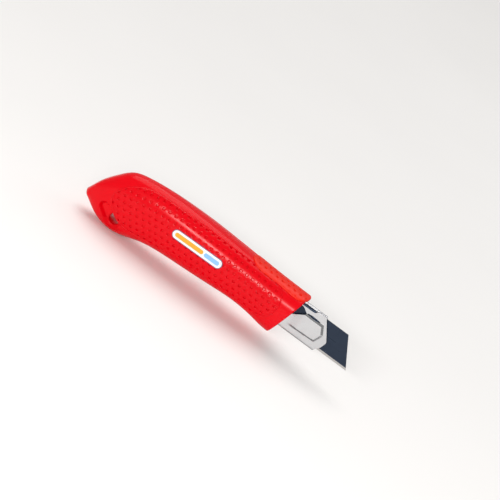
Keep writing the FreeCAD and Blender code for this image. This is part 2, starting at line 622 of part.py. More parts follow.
PARTS = ["handle_label_side", "handle_slider_side", "grip_panel_label_side",
         "grip_panel_slider_side", "thumb_rest", "badge_plate", "nose_bush", "blade_holder",
         "holder_pin", "blade", "blade_hook", "blade_carrier", "slide_track", "lock_pawl",
         "lock_spring", "slider_knob", "knob_pad", "case_screws"]
doc.recompute()
for item in doc.Objects:
    if any(word in ("Invalid", "Error") for word in item.State):
        raise ValueError(f"{item.Name} did not compute")
os.makedirs("parts", exist_ok=True)
for label in PARTS:
    shape = doc.getObjectsByLabel(label)[0].Shape
    if shape.isNull() or not shape.isValid():
        raise ValueError(f"{label} has no valid shape")
    shape.exportStep(f"parts/{label}.step")
    print(label, len(shape.Solids), round(shape.Volume, 1))
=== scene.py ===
# %% [markdown]
# # A snap-off utility knife
#
# This lesson builds the looks of a heavy snap-off knife around its packed mechanical model. The
# knife has a red two-shell handle with soft dimpled grips, a bright stamped steel nose and a black
# blade. The mechanical model says where every part is and how it moves. Blender adds what the eye
# judges: smooth moulded skin, small pits, rolled edges, and finishes with grain and wear.

# %% Load the fixed frame
import math

import bmesh
import bpy
import numpy as np
from mathutils import Matrix, Vector


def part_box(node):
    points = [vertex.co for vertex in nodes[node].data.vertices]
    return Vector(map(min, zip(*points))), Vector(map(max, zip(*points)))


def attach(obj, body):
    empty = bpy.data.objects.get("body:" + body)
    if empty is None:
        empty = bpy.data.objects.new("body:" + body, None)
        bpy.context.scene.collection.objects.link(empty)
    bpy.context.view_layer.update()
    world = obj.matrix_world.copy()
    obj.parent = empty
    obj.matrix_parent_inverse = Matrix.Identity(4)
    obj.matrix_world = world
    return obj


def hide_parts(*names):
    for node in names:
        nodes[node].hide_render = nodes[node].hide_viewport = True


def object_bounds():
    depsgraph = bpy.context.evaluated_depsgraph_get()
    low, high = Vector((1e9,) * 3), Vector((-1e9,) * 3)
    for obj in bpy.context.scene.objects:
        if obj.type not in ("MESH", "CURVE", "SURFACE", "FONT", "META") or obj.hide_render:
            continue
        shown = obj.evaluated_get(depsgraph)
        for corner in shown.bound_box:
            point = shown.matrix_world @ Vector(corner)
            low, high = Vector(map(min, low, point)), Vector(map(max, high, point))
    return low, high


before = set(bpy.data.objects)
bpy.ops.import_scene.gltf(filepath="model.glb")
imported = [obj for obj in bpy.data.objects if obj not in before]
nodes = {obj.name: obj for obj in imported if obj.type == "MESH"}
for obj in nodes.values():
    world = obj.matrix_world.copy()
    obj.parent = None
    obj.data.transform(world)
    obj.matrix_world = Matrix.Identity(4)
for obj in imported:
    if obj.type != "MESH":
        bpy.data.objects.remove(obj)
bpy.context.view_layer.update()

MM = 0.001

# %% [markdown]
# ## Camera and light
#
# The knife is drawn level in its own frame, so a camera that is rolled about its own axis shows it
# pointing down to the right, as a hand would hold it. The camera goes in first: every later look at
# the model is then from the same place. A long soft lamp low in front draws the pale streak along
# the shoulder of the handle, which is what tells the eye that the red skin is satin.

# %% Camera
target = Vector((-0.0637, 0.0, 0.0148))
distance = 0.90
azimuth, elevation, roll = math.radians(4.0), math.radians(21.0), math.radians(34.98)
field = 0.2740

back = Vector((math.sin(azimuth) * math.cos(elevation), -math.cos(azimuth) * math.cos(elevation),
               math.sin(elevation)))
camera_data = bpy.data.cameras.new("camera")
camera_data.sensor_width = 36.0
camera_data.lens = 36.0 * distance / field
camera_data.clip_start, camera_data.clip_end = 0.05, 10.0
camera = bpy.data.objects.new("camera", camera_data)
bpy.context.scene.collection.objects.link(camera)
upright = back.to_track_quat("Z", "Y").to_matrix()
camera.matrix_world = (Matrix.Translation(target + back * distance)
                       @ upright.to_4x4() @ Matrix.Rotation(roll, 4, "Z"))
bpy.context.scene.camera = camera
print("camera lens", round(camera_data.lens, 1), "mm")


# %% Lamps and the world's own light
SCENE = bpy.context.scene
MIDDLE = Vector((-0.07, 0.0, 0.0))
SKY_GLOW, BACKDROP_GLOW = 0.38, 0.88


def add_light(name, kind, away, place=(0, 0, 0), **settings):
    """Light at a place, shining against the direction away."""
    data = bpy.data.lights.new(name, kind)
    for key, value in settings.items():
        setattr(data, key, value)
    light = bpy.data.objects.new(name, data)
    SCENE.collection.objects.link(light)
    turn = Vector(away).to_track_quat("Z", "Y").to_matrix().to_4x4()
    light.matrix_world = Matrix.Translation(place) @ turn


for name, place, size, size_y, energy, color in (
        ("window", (-0.12, -0.76, 0.29), 0.42, 0.075, 3.7, (1.0, 0.98, 0.97)),
        ("fill", (0.7, 0.65, 0.60), 0.9, 0.9, 1.5, (0.96, 0.98, 1.0))):
    add_light(name, "AREA", Vector(place) - MIDDLE, place, shape="RECTANGLE", size=size,
              size_y=size_y, energy=energy, color=color)
add_light("sky", "SUN", (-0.25, 0.30, 1.0), energy=1.55, angle=math.radians(55),
          color=(1.0, 0.99, 0.98))

# The world is dimmer as a light than as a backdrop, so it fills the shadows without washing them out.
world = bpy.data.worlds.new("studio")
world.use_nodes = True
backdrop = world.node_tree.nodes["Background"]
backdrop.inputs["Color"].default_value = (1.0, 0.985, 0.965, 1)
seen = world.node_tree.nodes.new("ShaderNodeLightPath")
strength = world.node_tree.nodes.new("ShaderNodeMapRange")
strength.inputs["To Min"].default_value = SKY_GLOW
strength.inputs["To Max"].default_value = BACKDROP_GLOW
world.node_tree.links.new(seen.outputs["Is Camera Ray"], strength.inputs["Value"])
world.node_tree.links.new(strength.outputs["Result"], backdrop.inputs["Strength"])
SCENE.world = world
SCENE.view_settings.view_transform = "Standard"

# %% [markdown]
# ## Finishes
#
# Every finish starts from the same few effects: a fine moulded or brushed grain, slow cloudy colour
# change, and small marks of use. Each effect is a node group with named inputs, so one group gives
# the red plastic its skin, the rubber its matte bloom and the steel its rolling lines. The groups
# only hand on colours, masks and heights; the surface shader stays in each material.


# %% Shared effects
BUMP_DISTANCE = 0.1 * MM
FINISH_OUTPUTS = [("Color", "Color"), ("Roughness", "Float"), ("Height", "Float")]


def make_group(name, kind, inputs, outputs):
    """Empty node group with named sockets; returns it with its sockets to read and to write."""
    group = bpy.data.node_groups.new(name, kind)
    for label, socket_type, *value in inputs:
        socket = group.interface.new_socket(label, in_out="INPUT",
                                            socket_type="NodeSocket" + socket_type)
        if value:
            socket.default_value = value[0]
    for label, socket_type in outputs:
        group.interface.new_socket(label, in_out="OUTPUT", socket_type="NodeSocket" + socket_type)
    return group, group.nodes.new("NodeGroupInput").outputs, group.nodes.new("NodeGroupOutput").inputs


def add_node(tree, kind, inputs=None, **options):
    """Adds a node; an input takes a plain value, or the socket it is linked to."""
    node = tree.nodes.new(kind)
    for key, value in options.items():
        setattr(node, key, value)
    for label, value in (inputs or {}).items():
        if isinstance(value, bpy.types.NodeSocket):
            tree.links.new(value, node.inputs[label])
        else:
            node.inputs[label].default_value = value
    return node


def noise(tree, place, scale, detail, rough=0.5):
    return add_node(tree, "ShaderNodeTexNoise", {
        "Vector": place, "Scale": scale, "Detail": detail, "Roughness": rough}).outputs["Fac"]


def mix_colours(tree, factor, first, second):
    return add_node(tree, "ShaderNodeMix", {"Factor": factor, "A": first, "B": second},
                    data_type="RGBA").outputs["Result"]


def end_finish(group, source, out, second, tone, worn, worn_from, height):
    """Ends a finish: a tone between two colours, a roughness between two limits, and a height."""
    rough = add_node(group, "ShaderNodeMapRange", {
        "Value": worn, "From Min": worn_from, "From Max": 0.7,
        "To Min": source["Rough Low"], "To Max": source["Rough High"]})
    group.links.new(mix_colours(group, tone, source["Base"], source[second]), out["Color"])
    group.links.new(rough.outputs["Result"], out["Roughness"])
    group.links.new(height, out["Height"])
    return group


def build_skin():
    """Moulded skin: fine height, cloudy tone and sparse smudges, from object coordinates."""
    group, source, out = make_group("moulded_skin", "ShaderNodeTree", [
        ("Base", "Color", (0.5, 0, 0, 1)), ("Worn", "Color", (0.6, 0.1, 0.1, 1)),
        ("Grain Scale", "Float", 2500.0), ("Cloud", "Float", 0.12),
        ("Rough Low", "Float", 0.3), ("Rough High", "Float", 0.42)], FINISH_OUTPUTS)
    place = add_node(group, "ShaderNodeTexCoord").outputs["Object"]
    grain = noise(group, place, source["Grain Scale"], 2.0)
    cloud = add_node(group, "ShaderNodeMath", {
        0: noise(group, place, 45.0, 4.0, 0.55), 1: source["Cloud"]}, operation="MULTIPLY")
    smudge = noise(group, place, 190.0, 5.0, 0.65)
    return end_finish(group, source, out, "Worn", cloud.outputs[0], smudge, 0.35, grain)


def build_drawn():
    """Metal drawn along X: stretched lines for height and roughness, with faint cloudiness."""
    group, source, out = make_group("drawn_metal", "ShaderNodeTree", [
        ("Base", "Color", (0.6, 0.6, 0.6, 1)), ("Dark", "Color", (0.4, 0.4, 0.4, 1)),
        ("Line Scale", "Float", 900.0), ("Rough Low", "Float", 0.15),
        ("Rough High", "Float", 0.3)], FINISH_OUTPUTS)
    place = add_node(group, "ShaderNodeTexCoord").outputs["Object"]
    stretch = add_node(group, "ShaderNodeMapping", {"Vector": place, "Scale": (0.03, 1.0, 1.0)})
    lines = noise(group, stretch.outputs["Vector"], source["Line Scale"], 3.0)
    cloud = noise(group, place, 130.0, 4.0, 0.6)
    return end_finish(group, source, out, "Dark", cloud, lines, 0.3, lines)


def surface_material(name, group, values, bump, metallic=0.0, specular=0.5):
    """A material: one effect group feeding a Principled shader, with bump from its height."""
    material = bpy.data.materials.new(name)
    material.use_nodes = True
    tree = material.node_tree
    shader = tree.nodes["Principled BSDF"]
    effect = tree.nodes.new("ShaderNodeGroup")
    effect.node_tree = group
    for label, value in values.items():
        effect.inputs[label].default_value = value
    relief = add_node(tree, "ShaderNodeBump", {
        "Strength": bump, "Distance": BUMP_DISTANCE, "Height": effect.outputs["Height"]})
    for socket, label in ((effect.outputs["Color"], "Base Color"),
                          (effect.outputs["Roughness"], "Roughness"),
                          (relief.outputs["Normal"], "Normal")):
        tree.links.new(socket, shader.inputs[label])
    shader.inputs["Metallic"].default_value = metallic
    shader.inputs["Specular IOR Level"].default_value = specular
    return material


# %% Table of finishes
# Moulded: base, worn, grain scale, cloud, roughness low and high, bump, specular level.
MOULDED = {
    "shell_red": ((0.75, 0.0005, 0.0065), (0.63, 0.0005, 0.0055), 1800.0, 0.25, 0.18, 0.26, 0.05, 0.15),
    "grip_red": ((0.73, 0.0005, 0.0065), (0.61, 0.0005, 0.0055), 3200.0, 0.3, 0.17, 0.24, 0.10, 0.15),
    # Thumb rest red below: an orange-lit copy of the red, painted light for the top of the spine that
    # faces the lamps.
    "rest_red": ((0.82, 0.016, 0.004), (0.68, 0.012, 0.003), 3200.0, 0.3, 0.28, 0.4, 0.10, 0.2),
    # Pit red below: a darker red, painted shade meant for the floors of the pits.
    "grip_pit": ((0.15, 0.001, 0.005), (0.09, 0.001, 0.004), 3200.0, 0.3, 0.7, 0.85, 0.10, 0.02),
    "black_plastic": ((0.012, 0.012, 0.014), (0.05, 0.05, 0.055), 2600.0, 0.4, 0.38, 0.55, 0.15, 0.5),
    "badge": ((0.90, 0.89, 0.90), (0.74, 0.73, 0.76), 2200.0, 0.25, 0.28, 0.4, 0.03, 0.5),
    "badge_line": ((0.16, 0.08, 0.17), (0.25, 0.15, 0.25), 2200.0, 0.25, 0.28, 0.4, 0.03, 0.5),
    "badge_orange": ((0.90, 0.36, 0.012), (0.95, 0.55, 0.05), 2200.0, 0.25, 0.28, 0.4, 0.03, 0.5),
    "badge_blue": ((0.22, 0.50, 0.85), (0.45, 0.68, 0.92), 2200.0, 0.25, 0.28, 0.4, 0.03, 0.5),
}
# Drawn: base, dark, line scale, roughness low and high, bump, metallic.
DRAWN = {
    "holder_steel": ((0.619, 0.626, 0.634), (0.504, 0.511, 0.526), 1100.0, 0.10, 0.22, 0.03, 1.0),
    # The second steel below is a darker copy of the holder steel: painted shade for its down-facing
    # bevel and its top rim.
    "holder_bend": ((0.368, 0.368, 0.384), (0.272, 0.272, 0.288), 1100.0, 0.2, 0.35, 0.03, 1.0),
    "spring_steel": ((0.50, 0.50, 0.52), (0.35, 0.35, 0.37), 1500.0, 0.22, 0.4, 0.05, 1.0),
    "screw_steel": ((0.62, 0.62, 0.63), (0.45, 0.45, 0.47), 1500.0, 0.18, 0.35, 0.04, 1.0),
    "blade_steel": ((0.020, 0.034, 0.060), (0.012, 0.020, 0.038), 1300.0, 0.26, 0.42, 0.04, 0.6),
}
skin_group, drawn_group = build_skin(), build_drawn()
FINISH = {}
for name, (base, worn, grain, cloud, low, high, bump, specular) in MOULDED.items():
    FINISH[name] = surface_material(name, skin_group, {
        "Base": (*base, 1), "Worn": (*worn, 1), "Grain Scale": grain, "Cloud": cloud,
        "Rough Low": low, "Rough High": high}, bump, specular=specular)
for name, (base, dark, lines, low, high, bump, metallic) in DRAWN.items():
    FINISH[name] = surface_material(name, drawn_group, {
        "Base": (*base, 1), "Dark": (*dark, 1), "Line Scale": lines,
        "Rough Low": low, "Rough High": high}, bump, metallic)
print("finishes:", ", ".join(FINISH))

# %% [markdown]
# ## The blade's finish
#
# A black blade is carbon steel with a dark oxide skin; the grinder takes that skin off along the
# cutting edge and leaves bright scratches square to it. Both are one material: a height test on the
# object's own coordinates decides which finish a point has.

# %% Blade material
BARE_STEEL, EDGE_RIPPLE = (0.46, 0.45, 0.44, 1), 0.16 * MM
GROUND_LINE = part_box("blade")[0][2] + 1.38 * MM


def grind_edge(material):
    """Keeps the black oxide above the ground line and bares the steel below it."""
    tree = material.node_tree
    oxide = next(node for node in tree.nodes if node.type == "GROUP")
    place = add_node(tree, "ShaderNodeTexCoord").outputs["Object"]
    height = add_node(tree, "ShaderNodeSeparateXYZ", {"Vector": place}).outputs["Z"]
    ragged = add_node(tree, "ShaderNodeMath", {
        0: noise(tree, place, 900.0, 2.0), 1: EDGE_RIPPLE, 2: height}, operation="MULTIPLY_ADD")
    ground = add_node(tree, "ShaderNodeMapRange", {
        "Value": ragged.outputs[0], "From Min": GROUND_LINE + 0.04 * MM,
        "From Max": GROUND_LINE + 0.12 * MM, "To Min": 1.0, "To Max": 0.0})
    tone = mix_colours(tree, ground.outputs["Result"], oxide.outputs["Color"], BARE_STEEL)
    tree.links.new(tone, tree.nodes["Principled BSDF"].inputs["Base Color"])


grind_edge(FINISH["blade_steel"])
print("ground edge up to", round(GROUND_LINE / MM, 2), "mm")

# %% [markdown]
# ## The handle's law
#
# The handle is a loft: twelve stations along its length, each with a top, a bottom and a half
# width, joined by smooth curves. Writing that as a function, and not as a mesh, pays back at once:
# the shell, the soft panels, the thumb rest and the badge all ask the same function where the skin
# is, so they fit each other exactly.

# %% Stations and smooth curves through them
# Each station: distance along X, top, bottom and half width, in millimetres.
STATIONS = {
    "nib": (-157.9, -12.3, -13.7, 0.8), "tip": (-157.3, -11.2, -14.6, 2.3),
    "beak": (-154.6, -5.6, -16.8, 5.0), "butt": (-148.5, 3.1, -20.6, 7.6),
    "heel": (-141.0, 10.5, -23.6, 9.3), "loop": (-132.5, 13.2, -24.0, 10.4),
    "palm": (-118.0, 14.8, -19.6, 11.7), "hand": (-98.0, 15.2, -16.6, 12.6),
    "waist": (-74.0, 14.4, -15.0, 12.8), "fore": (-50.0, 13.0, -14.1, 12.4),
    "collar": (-33.0, 12.5, -16.2, 12.0), "mouth": (-15.0, 12.3, -16.4, 11.8),
}
FULLNESS = 2.45
FRONT_X, FRONT_LEAN = -25.4, math.tan(math.radians(15.9))
LEAN_FROM = -42.0


def natural_spline(knots, values):
    """Smooth curve through values at knots, straight beyond its ends; works on arrays."""
    n = len(knots)
    gap = np.diff(knots)
    left, right = np.zeros((n, n)), np.zeros(n)
    left[0, 0] = left[-1, -1] = 1.0
    for i in range(1, n - 1):
        left[i, i - 1:i + 2] = gap[i - 1], 2 * (gap[i - 1] + gap[i]), gap[i]
        right[i] = 6 * ((values[i + 1] - values[i]) / gap[i] - (values[i] - values[i - 1]) / gap[i - 1])
    bend = np.linalg.solve(left, right)

    def curve(where):
        where = np.asarray(where, float)
        k = np.clip(np.searchsorted(knots, where) - 1, 0, n - 2)
        step, before, after = gap[k], where - knots[k], knots[k + 1] - where
        return ((bend[k] * after ** 3 + bend[k + 1] * before ** 3) / (6 * step)
                + (values[k] / step - bend[k] * step / 6) * after
                + (values[k + 1] / step - bend[k + 1] * step / 6) * before)
    return curve


table = np.array(list(STATIONS.values()))
half_heights = (table[:, 1] - table[:, 2]) / 2
run = np.concatenate([[0], np.cumsum(np.hypot(np.diff(table[:, 0]), np.diff(half_heights)))])
curve_x, curve_top, curve_low, curve_side = (natural_spline(run, table[:, i]) for i in range(4))
fine = np.linspace(0, run[-1], 1200)
fine_x = np.maximum.accumulate(curve_x(fine))


def law(x):
    """Top, bottom and half width of the handle at x, in millimetres."""
    where = np.interp(x, fine_x, fine)
    return curve_top(where), curve_low(where), curve_side(where)


def lean(x, z):
    """How far the leaning front face carries a point forwards."""
    return z * FRONT_LEAN * np.clip((x - LEAN_FROM) / (FRONT_X - LEAN_FROM), 0, 1)


print("handle is", round(FRONT_X - table[0, 0], 1), "mm long")


# %% Skin coordinates: along the handle and around it
ANGLES = np.linspace(-math.pi / 2, math.pi / 2, 181)
NET_X = np.linspace(table[0, 0] + 0.8, -15.0, 500)


def round_power(value):
    return np.sign(value) * np.abs(value) ** (2 / FULLNESS)


def build_net():
    """For each x and angle: height, half width and distance round the skin from its widest line."""
    top, low, side = law(NET_X)
    middle, half = (top + low) / 2, (top - low) / 2
    y = side[:, None] * round_power(np.cos(ANGLES))[None, :]
    z = middle[:, None] + half[:, None] * round_power(np.sin(ANGLES))[None, :]
    y[:, 0] = y[:, -1] = 0.0
    steps = np.hypot(np.diff(y, axis=1), np.diff(z, axis=1))
    around = np.concatenate([np.zeros((len(NET_X), 1)), np.cumsum(steps, axis=1)], axis=1)
    around -= around[:, [len(ANGLES) // 2]]
    return y, z, around


NET_Y, NET_Z, NET_AROUND = build_net()
AROUND_TOP = NET_AROUND[:, -1]


def skin_point(x, around, side=-1):
    """Points on the skin at true x and a distance round it (0 = widest line, + is up)."""
    x, around = np.asarray(x, float), np.asarray(around, float)
    flat_x, flat_a = x.ravel(), around.ravel()
    u = flat_x.copy()
    for _ in range(4):
        row = np.clip((u - NET_X[0]) / (NET_X[1] - NET_X[0]), 0, len(NET_X) - 1.001)
        i = row.astype(int)
        blend = row - i
        lower = interp_rows(i, flat_a)
        upper = interp_rows(i + 1, flat_a)
        y = lower[0] * (1 - blend) + upper[0] * blend
        z = lower[1] * (1 - blend) + upper[1] * blend
        u = flat_x - lean(u, z)
    points = np.stack([flat_x, side * y, z], axis=-1)
    return points.reshape(x.shape + (3,))


def interp_rows(rows, around):
    """Half width and height on given rows of the net at given distances round."""
    table_a = NET_AROUND[rows]
    k = np.clip((table_a < around[:, None]).sum(axis=1) - 1, 0, len(ANGLES) - 2)
    pick = np.arange(len(rows))
    a0, a1 = table_a[pick, k], table_a[pick, k + 1]
    f = np.clip((around - a0) / np.maximum(a1 - a0, 1e-9), -1.0, 2.0)
    y = NET_Y[rows, k] * (1 - f) + NET_Y[rows, k + 1] * f
    z = NET_Z[rows, k] * (1 - f) + NET_Z[rows, k + 1] * f
    return y, z


def on_skin(x, around, out, side=-1):
    """As skin_point, then moved outwards along the skin's normal."""
    step = 0.15
    point = skin_point(x, around, side)
    along = skin_point(x + step, around, side) - skin_point(x - step, around, side)
    up = skin_point(x, around + step, side) - skin_point(x, around - step, side)
    normal = np.cross(along, up) * (1 if side < 0 else -1)
    normal /= np.linalg.norm(normal, axis=-1, keepdims=True)
    return point + normal * np.asarray(out)[..., None]


probe = on_skin(np.array([-80.0]), np.array([0.0]), np.array([0.0]))
print("widest point at x -80:", np.round(probe[0], 2))


# %% [markdown]
# ## Solids and cuts
#
# A moulding tool cuts clean openings in a shell, and so does a boolean, as long as both meshes are
# closed. Two small helpers do all of that work here: one makes a mesh from points and faces, one
# cuts a solid with others and bakes the result, so that no modifier is left.

# %% Mesh helpers
def in_mm(corners):
    return [[value / MM for value in corner] for corner in corners]


def make_mesh(name, points, faces, material=None):
    """Object at the origin from points in millimetres."""
    mesh = bpy.data.meshes.new(name)
    mesh.from_pydata((np.asarray(points) * MM).tolist(), [], faces)
    mesh.validate()
    piece = bpy.data.objects.new(name, mesh)
    bpy.context.scene.collection.objects.link(piece)
    if material:
        mesh.materials.append(material)
    return piece


def discard(*pieces):
    for piece in pieces:
        bpy.data.objects.remove(piece, do_unlink=True)


def bake(piece):
    """Turns a piece's modifiers into its mesh."""
    evaluated = piece.evaluated_get(bpy.context.evaluated_depsgraph_get())
    mesh = bpy.data.meshes.new_from_object(evaluated)
    piece.modifiers.clear()
    piece.data = mesh
    return piece


def cut(piece, tools, operation="DIFFERENCE"):
    """Cuts or keeps a closed piece with closed tools, then removes the tools."""
    for tool in tools:
        step = piece.modifiers.new("cut", "BOOLEAN")
        step.operation, step.solver, step.object = operation, "MANIFOLD", tool
    bake(piece)
    discard(*tools)
    return piece


def smooth(piece, degrees=35.0):
    """Smooth shading, with edges sharper than the angle kept crisp."""
    mesh = piece.data
    mesh.polygons.foreach_set("use_smooth", [True] * len(mesh.polygons))
    mesh.set_sharp_from_angle(angle=math.radians(degrees))
    return piece


def face_out(piece):
    """Welds a piece and points its faces outwards."""
    mesh = bmesh.new()
    mesh.from_mesh(piece.data)
    bmesh.ops.remove_doubles(mesh, verts=mesh.verts, dist=0.002 * MM)
    bmesh.ops.recalc_face_normals(mesh, faces=mesh.faces)
    mesh.to_mesh(piece.data)
    mesh.free()
    return piece


def paint(piece, *names):
    """Gives a piece exactly these finishes."""
    piece.data.materials.clear()
    for name in names:
        piece.data.materials.append(FINISH[name])


def rings_to_faces(ring_count, ring_size, closed_tube=False, capped=False):
    """Quads between rings of points; a closed tube joins its last ring to its first."""
    faces = []
    for i in range(ring_count if closed_tube else ring_count - 1):
        a, b = i * ring_size, (i + 1) % ring_count * ring_size
        faces += [(a + j, a + (j + 1) % ring_size, b + (j + 1) % ring_size, b + j)
                  for j in range(ring_size)]
    if capped:
        last = (ring_count - 1) * ring_size
        faces += [tuple(range(ring_size))[::-1], tuple(range(last, last + ring_size))]
    return faces


def run_length(path):
    return np.concatenate([[0], np.cumsum(np.linalg.norm(np.diff(path, axis=0), axis=1))])


def smooth_outline(points, count=260):
    """Evenly spaced points on one smooth closed curve through a few points."""
    ring = np.array(points + points[:1], float)
    knots = run_length(ring)
    lap = np.concatenate([knots[:-1] - knots[-1], knots, knots[1:] + knots[-1]])
    laps = np.concatenate([ring[:-1], ring, ring[1:]])
    curves = [natural_spline(lap, laps[:, i]) for i in range(2)]
    dense = np.linspace(0, knots[-1], 2000)
    path = np.stack([curve(dense) for curve in curves], axis=1)
    length = run_length(path)
    even = np.linspace(0, length[-1], count, endpoint=False)
    return np.stack([np.interp(even, length, path[:, i]) for i in range(2)], axis=1)


def outline_distance(points, x, z):
    """Distance outside a closed outline, negative inside."""
    nearest = np.full(x.shape, 1e9)
    inside = np.zeros(x.shape, bool)
    for (ax, az), (bx, bz) in zip(points, np.roll(points, -1, axis=0)):
        run_x, run_z = bx - ax, bz - az
        part = np.clip(((x - ax) * run_x + (z - az) * run_z) / (run_x ** 2 + run_z ** 2), 0, 1)
        nearest = np.minimum(nearest, np.hypot(x - ax - part * run_x, z - az - part * run_z))
        if az != bz:
            inside ^= ((az > z) != (bz > z)) & (x < run_x * (z - az) / run_z + ax)
    return np.where(inside, -nearest, nearest)


def soft_step(value):
    value = np.clip(value, 0, 1)
    return value * value * (3 - 2 * value)


def box_tool(low, high):
    corners = [(x, y, z) for x in (low[0], high[0]) for y in (low[1], high[1])
               for z in (low[2], high[2])]
    faces = [(0, 1, 3, 2), (4, 6, 7, 5), (0, 4, 5, 1), (2, 3, 7, 6), (0, 2, 6, 4), (1, 5, 7, 3)]
    return face_out(make_mesh("tool", corners, faces))


def stadium_points(x_from, x_to, z, half, count=16):
    """Outline with two straight sides and round ends."""
    turns = np.linspace(-math.pi / 2, math.pi / 2, count)
    right = [(x_to - half + half * math.cos(a), z + half * math.sin(a)) for a in turns]
    left = [(x_from + half - half * math.cos(a), z - half * math.sin(a)) for a in turns]
    return right + left


def plate(outline, start, end, axis=1):
    """Closed plate: an outline set at two levels of an axis, with a wall between them."""
    outline = np.asarray(outline, float)
    count = len(outline)
    points = np.concatenate([np.insert(outline, axis, level, axis=1) for level in (start, end)])
    faces = [tuple(range(count)), tuple(range(2 * count - 1, count - 1, -1))]
    faces += [(j, (j + 1) % count, count + (j + 1) % count, count + j) for j in range(count)]
    return face_out(make_mesh("tool", points, faces))


# %% [markdown]
# ## The two red shells
#
# The handle is moulded as two halves that meet on a middle plane. Each ring of the loft comes from
# the handle's law. At the front the rings roll over a small radius, cross the wall and turn back
# inside, which gives the collar its thickness. The teardrop recess at the butt is pressed into the
# rings themselves, so its rim stays soft, and the lanyard hole is cut through it afterwards.

# %% Loft of the whole handle
WALL, LIP_ROUND, INNER_ROUND, SEAM = 2.5, 0.8, 0.35, 0.16
CUP_X, CUP_Z, CUP_R = -135.6, -15.8, 5.0
CUP_TAIL_X, CUP_TAIL_Z, CUP_TAIL_R = -143.2, -12.6, 3.0
CUP_FLOOR = 5.4
# Outline of a side grip as (x, height) on the handle; the shell steps down under it.
GRIP_OUTLINE = [(-142.0, -3.0), (-137.0, 5.6), (-129.0, 10.4), (-112.0, 13.0), (-90.0, 13.4),
                (-66.0, 12.6), (-44.0, 11.6), (-35.2, 9.0), (-33.0, 2.6), (-35.0, -5.6),
                (-43.0, -9.6), (-66.0, -9.9), (-92.0, -10.8), (-114.0, -13.6), (-127.0, -15.0),
                (-136.5, -11.4)]
GRIP_SEAT = 1.2


def cup_depth(x, z):
    """1 inside the teardrop recess, 0 outside, with a soft rim."""
    run_x, run_z = CUP_TAIL_X - CUP_X, CUP_TAIL_Z - CUP_Z
    along = np.clip(((x - CUP_X) * run_x + (z - CUP_Z) * run_z) / (run_x ** 2 + run_z ** 2), 0, 1)
    away = np.hypot(x - CUP_X - along * run_x, z - CUP_Z - along * run_z)
    edge = away - (CUP_R + (CUP_TAIL_R - CUP_R) * along)
    return soft_step((0.5 - edge) / 2.0)


seam_angles = [0.02, 0.12, 0.3, 0.6, 1.0, 1.6]
quarter = np.concatenate([seam_angles, np.linspace(2.4, 90, 44)])
half_turn = np.concatenate([quarter, 180 - quarter[-2::-1]])
ring_angles = np.radians(np.concatenate([half_turn - 90, half_turn + 90]))


def handle_ring(top, low, side, x, shrink=0.0, groove=0.0):
    """Section of the handle at x, drawn in by shrink, with a groove along the seam."""
    middle, half = (top + low) / 2, (top - low) / 2 - shrink
    y = (side - shrink) * round_power(np.cos(ring_angles))
    z = middle + half * round_power(np.sin(ring_angles))
    z = z - np.sign(np.sin(ring_angles)) * groove * np.exp(-(y / 0.22) ** 2)
    x = x + np.zeros_like(y)
    depth = cup_depth(x, z)
    y = np.sign(y) * np.where(np.abs(y) > CUP_FLOOR, np.abs(y) - depth * (np.abs(y) - CUP_FLOOR),
                              np.abs(y))
    return np.stack([x + lean(x, z), y, z], axis=-1)


def build_handle_solid():
    """Closed solid: outer skin, rolled lip, front face and the mouth's inside."""
    start = np.interp(FRONT_X - LIP_ROUND, fine_x, fine)
    where = np.concatenate([np.linspace(0, 18, 60, endpoint=False), np.linspace(18, start, 270)])
    laws = [(curve_top(t), curve_low(t), curve_side(t), curve_x(t)) for t in where]
    skin = np.stack([handle_ring(*values, 0.0, SEAM) for values in laws])
    seat = np.stack([handle_ring(*values, min(GRIP_SEAT, values[2] / 2), SEAM) for values in laws])
    inside = soft_step(-outline_distance(smooth_outline(GRIP_OUTLINE), skin[..., 0], skin[..., 2]) / 0.5)
    rings = list(skin + (seat - skin) * inside[..., None])
    top, low, side = law(FRONT_X)
    for turn in np.radians([15, 30, 45, 60, 75, 90]):
        rings.append(handle_ring(top, low, side, FRONT_X - LIP_ROUND * (1 - math.sin(turn)),
                                 LIP_ROUND * (1 - math.cos(turn)), SEAM))
    for turn in np.radians([0, 30, 60, 90]):
        rings.append(handle_ring(top, low, side, FRONT_X - INNER_ROUND * (1 - math.cos(turn)),
                                 WALL - INNER_ROUND * (1 - math.sin(turn))))
    for x in (-27.5, -30.0, -36.0):
        rings.append(handle_ring(top, low, side, x, WALL))
    faces = rings_to_faces(len(rings), len(ring_angles), capped=True)
    return face_out(make_mesh("handle_solid", np.concatenate(rings), faces))


handle_solid = build_handle_solid()
print("handle solid:", len(handle_solid.data.polygons), "faces")

# %% Cut it into two halves and open it up
FAR = 60.0
ROOM = ((-119.0, -3.0, -11.0), (-34.4, 8.7, 11.0))
(TRACK_FROM, _, _), (TRACK_TO, _, TRACK_HALF) = in_mm(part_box("slide_track"))
TRACK_ROOM, TRACK_SEAT = 0.15, 8.6
HOLE_X, HOLE_Z, HOLE_R, HOLE_FLARE = -135.0, -16.2, 3.2, 1.0
SCREWS = [(-125.5, 8.4), (-125.0, -11.6), (-147.0, -6.0)]
SCREW_HEAD, SCREW_SEAT = 2.8, 5.6


def round_tool(x, z, profile):
    """Turned cutting tool along Y from (radius, y) pairs."""
    count = 40
    turns = np.linspace(0, 2 * math.pi, count, endpoint=False)
    points = [(x + r * math.cos(a), y, z + r * math.sin(a)) for r, y in profile for a in turns]
    return face_out(make_mesh("tool", points, rings_to_faces(len(profile), count, capped=True)))


